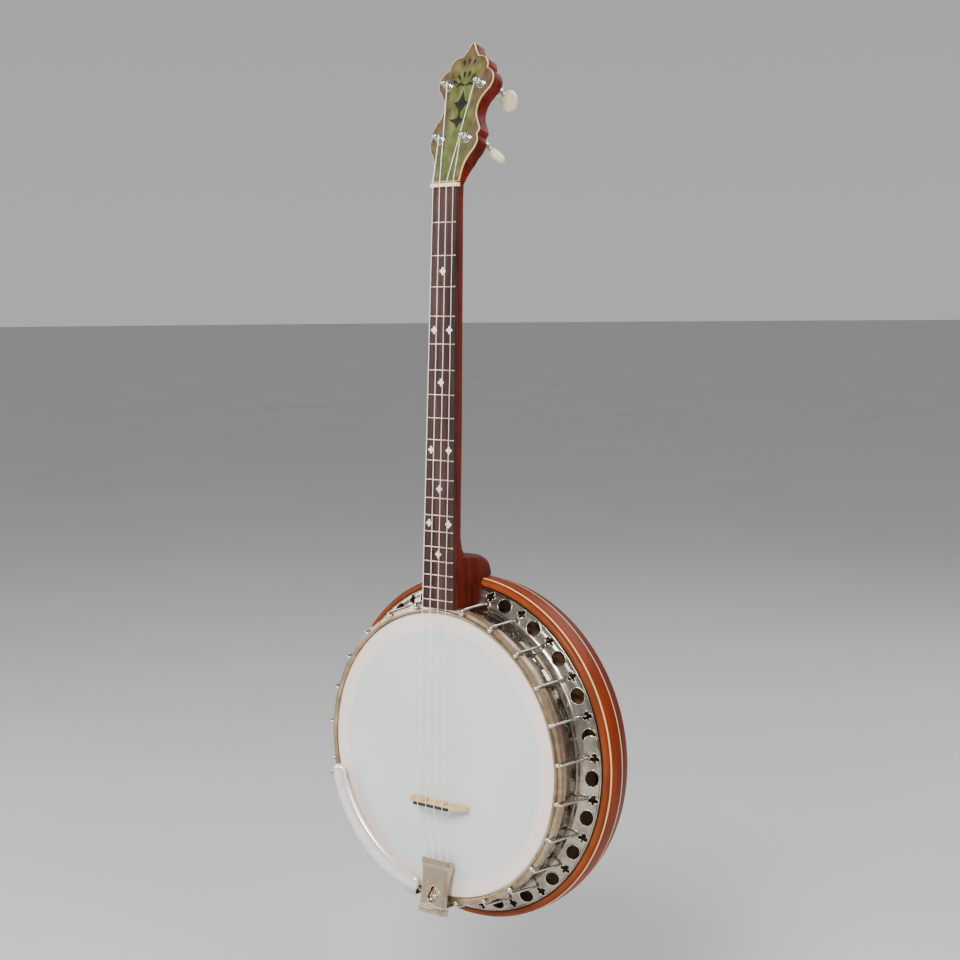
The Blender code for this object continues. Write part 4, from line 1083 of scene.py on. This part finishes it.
def make_pot():
    head = lathe("head", HEAD_PROFILE, smooth_deg=50.0)
    piece("drum_head", head, "head_skin", POT, stands_for=["head"])
    notch = box((-19.7, -10.0, -397.9), (19.7, 20.0, -380.0))
    hoop = lathe("hoop", HOOP_PROFILE)
    hoop = carved("hoop", hoop, [placed(notch, POT.inverted() @ ROW)], smooth_deg=30.0)
    piece("hoop_band", hoop, "aged_nickel", POT, stands_for=["tension_hoop"])
    slots = []
    for index in range(HOOK_COUNT - 1):
        about = turn(hook_angle(index) - 90.0, "Z")
        slots.append((box((140.6, -1.0, 18.6), (144.0, 4.6, 21.6)), about @ turn(2.2, "Z")))
        slots.append((box((140.4, -6.5, 18.4), (144.0, 6.5, 24.2)), about @ turn(10.2, "Z")))
    ring = carved("ring", lathe("ring", TONE_RING_PROFILE), [joined("slots", slots)], smooth_deg=30.0)
    piece("tone_ring_skirt", ring, "skirt_plate", POT, stands_for=["tone_ring"])
    make_flange()
    make_lugs()
    outside = rounded(RESONATOR_OUTSIDE, 3, (17,))
    inside = rounded(RESONATOR_INSIDE, 2)
    shell = lathe("resonator", inside + outside, smooth_deg=45.0)
    bowl = piece("resonator_shell", shell, "sunburst", POT, stands_for=["resonator"])
    bowl.data.materials.append(MATERIALS["resonator_inside"])
    mark_inside(bowl.data)
    for index, depth in enumerate(PURFLING_DEPTHS):
        wall = [(h, r) for r, h in outside if h < 80.0][2:]
        low, high = (depth + side * PURFLING_HALF_WIDTH for side in (-1, 1))
        out = [(height_at(wall, h) + 0.06, h) for h in (low, depth, high)]
        profile = out + [(r - 0.8, h) for r, h in reversed(out)]
        piece("purfling_%d" % (index + 1), lathe("purfling", profile), "cream", POT)


def mark_inside(mesh):
    """The bowl's inner faces, which are bare, take the mesh's second material."""
    centre = Vector(POT_CENTRE)
    for face in mesh.polygons:
        out = face.center - centre
        out.y = 0.0
        depth = face.center.y / MM + HANGER_SEAT[1]
        on_back = face.normal.y < -0.5 and depth > BACK_INSIDE_DEPTH
        if depth > LIP_DEPTH and (on_back or face.normal.dot(out.normalized()) < -0.3):
            face.material_index = 1


HOOK_PATH = (
    (144.2, -1.35), (145.6, -1.3), (146.6, -0.95), (147.0, -0.4), (147.25, 1.6), (147.6, 8.0),
    (HOOK_FOOT_RADIUS - 0.15, 32.0), (HOOK_FOOT_RADIUS, 35.0), (HOOK_FOOT_RADIUS, 55.0),
)
HOOK_END_PROFILE = (
    (0.0, -2.5), (1.2, -2.35), (2.1, -1.8), (2.5, -0.9), (2.5, 0.5), (2.1, 1.4), (1.4, 1.9), (0.0, 1.9),
)
HOOK_NUT_PROFILE = ((1.6, 41.5), (3.0, 41.5), (3.45, 42.0), (3.45, 50.6), (2.6, 51.5), (1.6, 51.5))


def make_hooks():
    """A round hook over the hoop's ledge, its shaft down through the flange, and its nut behind."""
    shank = wire("shank", rounded([(r, 0.0, h) for r, h in HOOK_PATH], 5), HOOK_RADIUS)
    end = lathe("end", HOOK_END_PROFILE, 24)
    nut = lathe("nut", HOOK_NUT_PROFILE, 6, smooth_deg=20.0)
    end_place = shift(143.3, 0.0, -1.3) @ turn(-90.0, "Y") @ turn(180.0, "X")
    parts = [(shank, STILL), (end, end_place), (nut, shift(HOOK_FOOT_RADIUS))]
    mesh = joined("hook", parts, 40.0)
    for index in range(HOOK_COUNT):
        name = "hook_%02d" % (index + 1)
        piece(name + "_rod", mesh, "nickel", pot_at(hook_angle(index)), stands_for=[name])


# ---- bridge

BRIDGE_HALF = (
    (0.0, -GAP), (9.0, -GAP), (9.3, -9.2), (10.3, -11.0), (12.4, -11.8), (14.5, -11.0), (15.5, -9.2),
    (15.8, -GAP), (35.8, -GAP), (35.8, -5.6), (31.0, -8.6), (25.5, -12.8), (21.8, BRIDGE_WOOD_Y),
    (0.0, BRIDGE_WOOD_Y),
)
BRIDGE_CORNERS = (1, 2, 6, 7, 8, 9, 12)
BRIDGE_THICKNESS = 5.6


def make_bridge():
    outline = mirrored(rounded(BRIDGE_HALF, 4, BRIDGE_CORNERS), 1)[::-1]
    rings = []
    for side, edge in ((-1, 0.45), (-1, 0.0), (1, 0.0), (1, 0.45)):
        ring = []
        for x, y in inset(outline, edge):
            half_thick = (1.0 - 0.5 * (y / BRIDGE_WOOD_Y)) * BRIDGE_THICKNESS / 2.0
            ring.append((x, y, side * (half_thick - (0.0 if edge else 0.45))))
        rings.append(ring)
    place = ROW @ shift(z=BRIDGE_Z)
    piece("bridge_wood", loft("bridge", rings), "maple", place, "bridge", stands_for=["bridge"])
    corner = [(21.8, BRIDGE_WOOD_Y - GAP), (21.8, BRIDGE_TOP_Y + 0.5), (21.2, BRIDGE_TOP_Y)]
    cap = notched(corner, BRIDGE_STRING_SPACING, BRIDGE_TOP_Y, 0.75, 0.7, 0.45)
    mesh = loft("cap", [at(cap, z) for z in (-1.3, 1.3)])
    piece("bridge_cap", mesh, "ebony", place, "bridge", stands_for=["bridge_saddle"])


# ---- tailpiece

BASE_HALF = ((11.8, 5.0), (11.8, 24.0), (13.4, 30.6), (16.4, 36.0), (16.6, 43.0))
EAR_OUTLINE = (
    (16.0, -2.6), (16.0, -1.2), (7.0, -0.2), (1.6, 2.0), (1.0, 3.4), (-4.0, 3.4), (-4.0, 1.2), (-1.8, -2.6),
)
COVER_STATIONS = ((0.0, 15.3), (12.0, 14.9), (22.0, 15.1), (31.0, 16.2), (39.0, 18.0), (44.6, 18.6))
COVER_FLANGE = 4.4
COVER_THICKNESS = 1.2
COVER_BAND_START = 37.5
COVER_HOLE = 9.0
PEG_REACH = 37.9
BOSS_PROFILE = ((0.0, 1.2), (4.2, 1.2), (5.0, 1.9), (6.4, 1.9), (7.4, 1.0), (7.6, -2.0), (0.0, -2.0))
RIVET_PROFILE = ((0.0, 0.7), (0.7, 0.6), (1.2, 0.3), (1.4, -0.2), (0.0, -0.2))
BALL_PROFILE = ((0.0, 1.3), (0.9, 0.95), (1.3, 0.0), (0.9, -0.95), (0.0, -1.3))
SCREW_PROFILE = (
    (0.0, 2.5), (1.2, 2.35), (2.3, 1.9), (3.0, 1.25), (3.2, 0.8), (3.2, 0.4), (1.6, 0.4), (1.6, -1.3),
    (0.0, -1.3),
)


def make_bracket():
    z = HEAD_CENTRE_Z - STRAP_RADIUS
    strap = placed(box((-6.0, -15.0, z - 1.0), (6.0, 54.0, z + 1.0), 0.4), ROW)
    pin = placed(rod(1.6, -13.6, 13.6, bevel=0.3), ROW @ shift(*TAIL_PIN) @ turn(90.0, "Y"))
    hole = placed(rod(ROD_RADIUS + 0.4, -160.0, -140.0), ROD_FRAME)
    mesh = carved("bracket", carved("strap", strap, [hole]), adds=[pin])
    piece("tailpiece_strap", mesh, "nickel", STILL, stands_for=["tailpiece_bracket"])


def make_tail_base():
    base = placed(plate("base", [mirrored(list(BASE_HALF))], 1.5, 0.2), shift(z=-2.35))
    ear = plate("ear", [rounded(EAR_OUTLINE, 3, (1, 4, 5)), circle((0.0, 0.0), 2.0, 24)], 1.6)
    fold_y, fold_z = FOLD
    front = fold_z + COVER_THICKNESS / 2.0
    apron = box((-15.6, -4.5, front - COVER_THICKNESS), (15.6, 1.5, front), 0.25)
    posts = [box((x - 0.6, -4.37, -4.0), (x + 0.6, 1.4, front - 0.2), 0.2) for x in (-14.9, 14.9)]
    peg = rod(1.0, -2.0, 1.0, 20, 0.3)
    pegs = [(peg, shift(x, PEG_REACH, 0.0)) for x in string_places(TAIL_STRING_SPACING)]
    ears = [placed(ear.copy(), shift(x) @ ON_EDGE) for x in (-11.2, 11.2)]
    boss = lathe("boss", BOSS_PROFILE, 40)
    spire = plate("spire", [[(-2.4, 6.0), (2.4, 6.0), (1.6, 11.5), (-1.6, 11.5)]], 3.6)
    raised = joined("raised", [(boss, STILL), (spire, shift(z=-0.1))])
    mesh = carved("base", base, adds=[*ears, apron, *posts, joined("pegs", pegs)])
    piece("tailpiece_plate", mesh, "cover_plate", TAIL, "tailpiece", stands_for=["tailpiece_base"])
    hole = TAIL @ shift(y=fold_y + COVER_HOLE)
    piece("tailpiece_boss", raised, "cover_plate", hole, "tailpiece")
    rivet = lathe("rivet", RIVET_PROFILE, 24)
    piece("tailpiece_rivet", rivet, "nickel", TAIL @ shift(5.0, -2.2, front - 0.35), "tailpiece")
    loops = []
    for x in string_places(TAIL_STRING_SPACING):
        ring = [(x + 1.4 * cos(0.3 * i), PEG_REACH + 1.4 * sin(0.3 * i), -0.6) for i in range(21)]
        loops.append((wire("loop", ring, 0.3, cyclic=True), STILL))
    piece("string_loops", joined("loops", loops), "string_steel", TAIL, "tailpiece")
    screw = lathe("screw", SCREW_PROFILE, 48)
    screw = carved("screw", screw, [box((-4.0, -0.4, 1.6), (4.0, 0.4, 4.0))])
    turned = hole @ turn(25.0, "Z")
    piece("cover_screw", screw, "nickel", turned, "tailpiece", stands_for=["tailpiece_screw"])


def cover_section(along, half):
    """The tray across: a flat front, rounded shoulders and short sides; its upper band stands proud."""
    proud = 0.35 * min(max((along - COVER_BAND_START) / 1.2, 0.0), 1.0)
    front = COVER_THICKNESS / 2.0 + proud
    inner, back = half - 1.1, -COVER_THICKNESS / 2.0
    right = [(inner - 0.6, back), (inner, back - 0.7), (inner, -COVER_FLANGE), (half, -COVER_FLANGE)]
    right += [(half, front - 1.1), (half - 0.35, front - 0.35), (half - 1.2, front)]
    right += [(half - 3.0, front), (half - 3.4, front - 0.3), (half - 3.9, front - 0.3)]
    return [(x, along, z) for x, z in mirrored(right)]


def window():
    """The screw's opening, a drop that points up the cover."""
    points = []
    for a in angles(48):
        reach = 6.2 + 4.6 * max(0.0, sin(a)) ** 7
        points.append((reach * cos(a), COVER_HOLE + reach * sin(a)))
    return points


def make_tail_cover():
    stations = rounded(COVER_STATIONS, 6)
    cover = loft("cover", [cover_section(along, half) for along, half in stations])
    roll = placed(rod(0.95, -15.0, 15.0, 24, 0.2), turn(90.0, "Y"))
    mesh = carved("cover", cover, [drilled(window(), -3.0, 3.0)], [roll])
    piece("cover_tray", mesh, "cover_plate", COVER, "tailpiece_cover", stands_for=["tailpiece_cover"])
    rim = at(window(), COVER_THICKNESS / 2.0 - 0.3)
    lip = wire("lip", rim, 0.5, resolution=2, cyclic=True)
    swag = [(8.5 * sin(a), 1.7 + 0.5 * cos(2.0 * a), 0.3) for a in (-1.3, -0.7, 0.0, 0.7, 1.3)]
    swag_wire = wire("swag", rounded(swag), 0.55, resolution=2)
    leaves = []
    for side in (-1, 1):
        leaf = [(side * (6.6 - 1.6 * a), 15.5 + 1.8 * a, 0.25) for a in (-1.5, -0.7, 0.0, 0.7, 1.5)]
        leaves.append((wire("leaf", leaf, 0.9, (0.4, 0.9, 1.1, 0.8, 0.3), resolution=2), STILL))
    ball = lathe("ball", BALL_PROFILE, 20, smooth_deg=80.0)
    balls = [(ball, shift(side * 18.0, 43.3, 0.1)) for side in (-1, 1)]
    trim = joined("trim", [(lip, STILL), (swag_wire, STILL), *leaves, *balls], 50.0)
    piece("cover_trim", trim, "cover_plate", COVER, "tailpiece_cover")


# ---- armrest

CLAMP_OUTLINE = (
    (131.0, -5.4), (147.2, -5.4), (147.2, 10.4), (142.9, 10.4), (142.9, 9.0), (145.8, 9.0), (145.8, -4.0),
    (131.0, -4.0),
)
CLAMP_SCREW_PROFILE = ((0.0, 2.2), (1.6, 2.0), (2.4, 1.2), (2.6, 0.0), (0.0, 0.0))
ARMREST_HALF_AT_END = 6.8
ARMREST_SWELL = 2.2


def make_armrest():
    """A bent bar with rounded ends, widest in its middle."""
    span = ARMREST_END_DEG - ARMREST_START_DEG
    ends = ((0.0, 0.3), (0.003, 0.52), (0.009, 0.74), (0.018, 0.9), (0.03, 0.98), (0.045, 1.0))
    stations = list(ends) + [(0.045 + 0.91 * i / 48.0, 1.0) for i in range(1, 48)]
    stations += [(1.0 - along, size) for along, size in reversed(ends)]
    rings = []
    for along, size in stations:
        angle = radians(ARMREST_START_DEG + span * along)
        half = (ARMREST_HALF_AT_END + ARMREST_SWELL * sin(pi * along)) * size
        ring = []
        for i in range(32):
            a = 2.0 * pi * (i + 0.5) / 32
            flat = [copysign(abs(f(a)) ** 0.8, f(a)) for f in (cos, sin)]
            radius = ARMREST_RADIUS + half * flat[0]
            y = ARMREST_Y + ARMREST_HALF_THICKNESS * size * flat[1]
            ring.append((radius * sin(angle), y, HEAD_CENTRE_Z + radius * cos(angle)))
        rings.append(ring)
    piece("armrest_bar", loft("bar", rings, 60.0), "armrest_plate", ROW, stands_for=["armrest"])
    for index, angle in enumerate(CLAMP_ANGLES_DEG):
        rings = []
        for across, edge in ((-6.0, 0.3), (-5.6, 0.0), (5.6, 0.0), (6.0, 0.3)):
            rings.append([(r, across, y) for r, y in inset(CLAMP_OUTLINE, edge)])
        name = "armrest_clamp_%d" % (index + 1)
        strap = loft("clamp", rings)
        screw = lathe("screw", CLAMP_SCREW_PROFILE, 32)
        parts = [(strap, STILL), (screw, shift(147.0, 0.0, 2.0) @ turn(90.0, "Y"))]
        piece(name + "_strap", joined("clamp", parts), "nickel", pot_at(angle), stands_for=[name])


# ---- camera, light and floor

CAMERA_AZIMUTH = 39.935
CAMERA_ELEVATION = 5.639
CAMERA_ROLL = -0.436
CAMERA_PLACE = (1.1322, -1.3107, -0.1275)
CAMERA_LENS = 68.40
SENSOR_WIDTH = 36.0
FLOOR_DROP = 0.16
FLOOR_REACH = 60.0
FLOOR_SIDES = 96
HORIZON = (0.62, 0.62, 0.63, 1.0)
ZENITH = (0.32, 0.32, 0.33, 1.0)
SKY_STRENGTH = 0.8
MIDDLE = (0.0, 0.0, -0.38)
# A light's name, its place, what it looks at, its two sizes and its watts.
LIGHTS = (
    ("key", (0.7, -2.1, 1.2), MIDDLE, (1.0, 1.0), 84.0),
    ("fill", (-1.9, -1.5, 0.4), MIDDLE, (1.2, 1.6), 30.0),
    ("side", (2.2, -0.6, 1.1), (0.1, 0.0, -0.5), (0.8, 0.8), 20.0),
    ("back", (0.4, 2.2, 1.2), MIDDLE, (1.8, 1.2), 22.0),
)


def make_camera():
    az, el, roll = (radians(v) for v in (CAMERA_AZIMUTH, CAMERA_ELEVATION, CAMERA_ROLL))
    ahead = Vector((-sin(az) * cos(el), cos(az) * cos(el), -sin(el)))
    right = Vector((cos(az), sin(az), 0.0))
    up = right.cross(ahead)
    across = cos(roll) * right + sin(roll) * up
    upright = cos(roll) * up - sin(roll) * right
    data = bpy.data.cameras.new("camera")
    data.lens, data.sensor_width = CAMERA_LENS, SENSOR_WIDTH
    data.clip_end = 200.0
    camera = linked("camera", data)
    axes = Matrix((across, upright, -ahead)).transposed().to_4x4()
    camera.matrix_world = Matrix.Translation(CAMERA_PLACE) @ axes
    bpy.context.scene.camera = camera


def make_light(name, place, target, size, watts):
    data = bpy.data.lights.new(name, "AREA")
    data.shape, data.energy = "RECTANGLE", watts
    data.size, data.size_y = size
    light = linked(name, data)
    light.location = place
    aim = Vector(target) - Vector(place)
    light.rotation_euler = aim.to_track_quat("-Z", "Y").to_euler()


def make_stage():
    mesh = bpy.data.meshes.new("floor")
    low = cad_box[0][2] - FLOOR_DROP
    edge = at(circle((0.0, 0.0), FLOOR_REACH, FLOOR_SIDES), low)
    mesh.from_pydata(edge, [], [tuple(range(FLOOR_SIDES))])
    paint = Paint("floor", (0.62, 0.61, 0.60), 0.85)
    paint.tint((1.5, 1.5, 1.5), ((0.3, (0.72, 0.71, 0.70)), (0.7, (0.76, 0.75, 0.74))))
    mesh.materials.append(paint.material)
    floor = linked("floor", mesh)
    world = bpy.data.worlds.new("studio")
    world.use_nodes = True
    tree = world.node_tree
    background = tree.nodes["Background"]
    place = tree.nodes.new("ShaderNodeTexCoord")
    heights = tree.nodes.new("ShaderNodeSeparateXYZ")
    sky = tree.nodes.new("ShaderNodeValToRGB")
    tree.links.new(place.outputs["Generated"], heights.inputs[0])
    tree.links.new(heights.outputs["Z"], sky.inputs["Fac"])
    tree.links.new(sky.outputs["Color"], background.inputs["Color"])
    sky.color_ramp.elements[0].color = HORIZON
    sky.color_ramp.elements[1].color = ZENITH
    background.inputs["Strength"].default_value = SKY_STRENGTH
    bpy.context.scene.world = world
    for light in LIGHTS:
        make_light(*light)


# ---- assembly

make_camera()
make_neck()
make_overlay()
make_fingerboard()
make_nut()
for tuner_name, tuner_centre, tuner_turn in zip(TUNER_NAMES, tuner_centres(), BUTTON_TURNS_DEG):
    make_tuner(tuner_name, tuner_centre, tuner_turn)
make_strings()
make_pot()
make_hooks()
make_bridge()
make_bracket()
make_tail_base()
make_tail_cover()
make_armrest()
for kept, finish in (("rim", "rim_wood"), ("coordinator_rod", "steel")):
    node_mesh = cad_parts[kept].data
    node_mesh.materials.clear()
    node_mesh.materials.append(MATERIALS[finish])
make_stage()
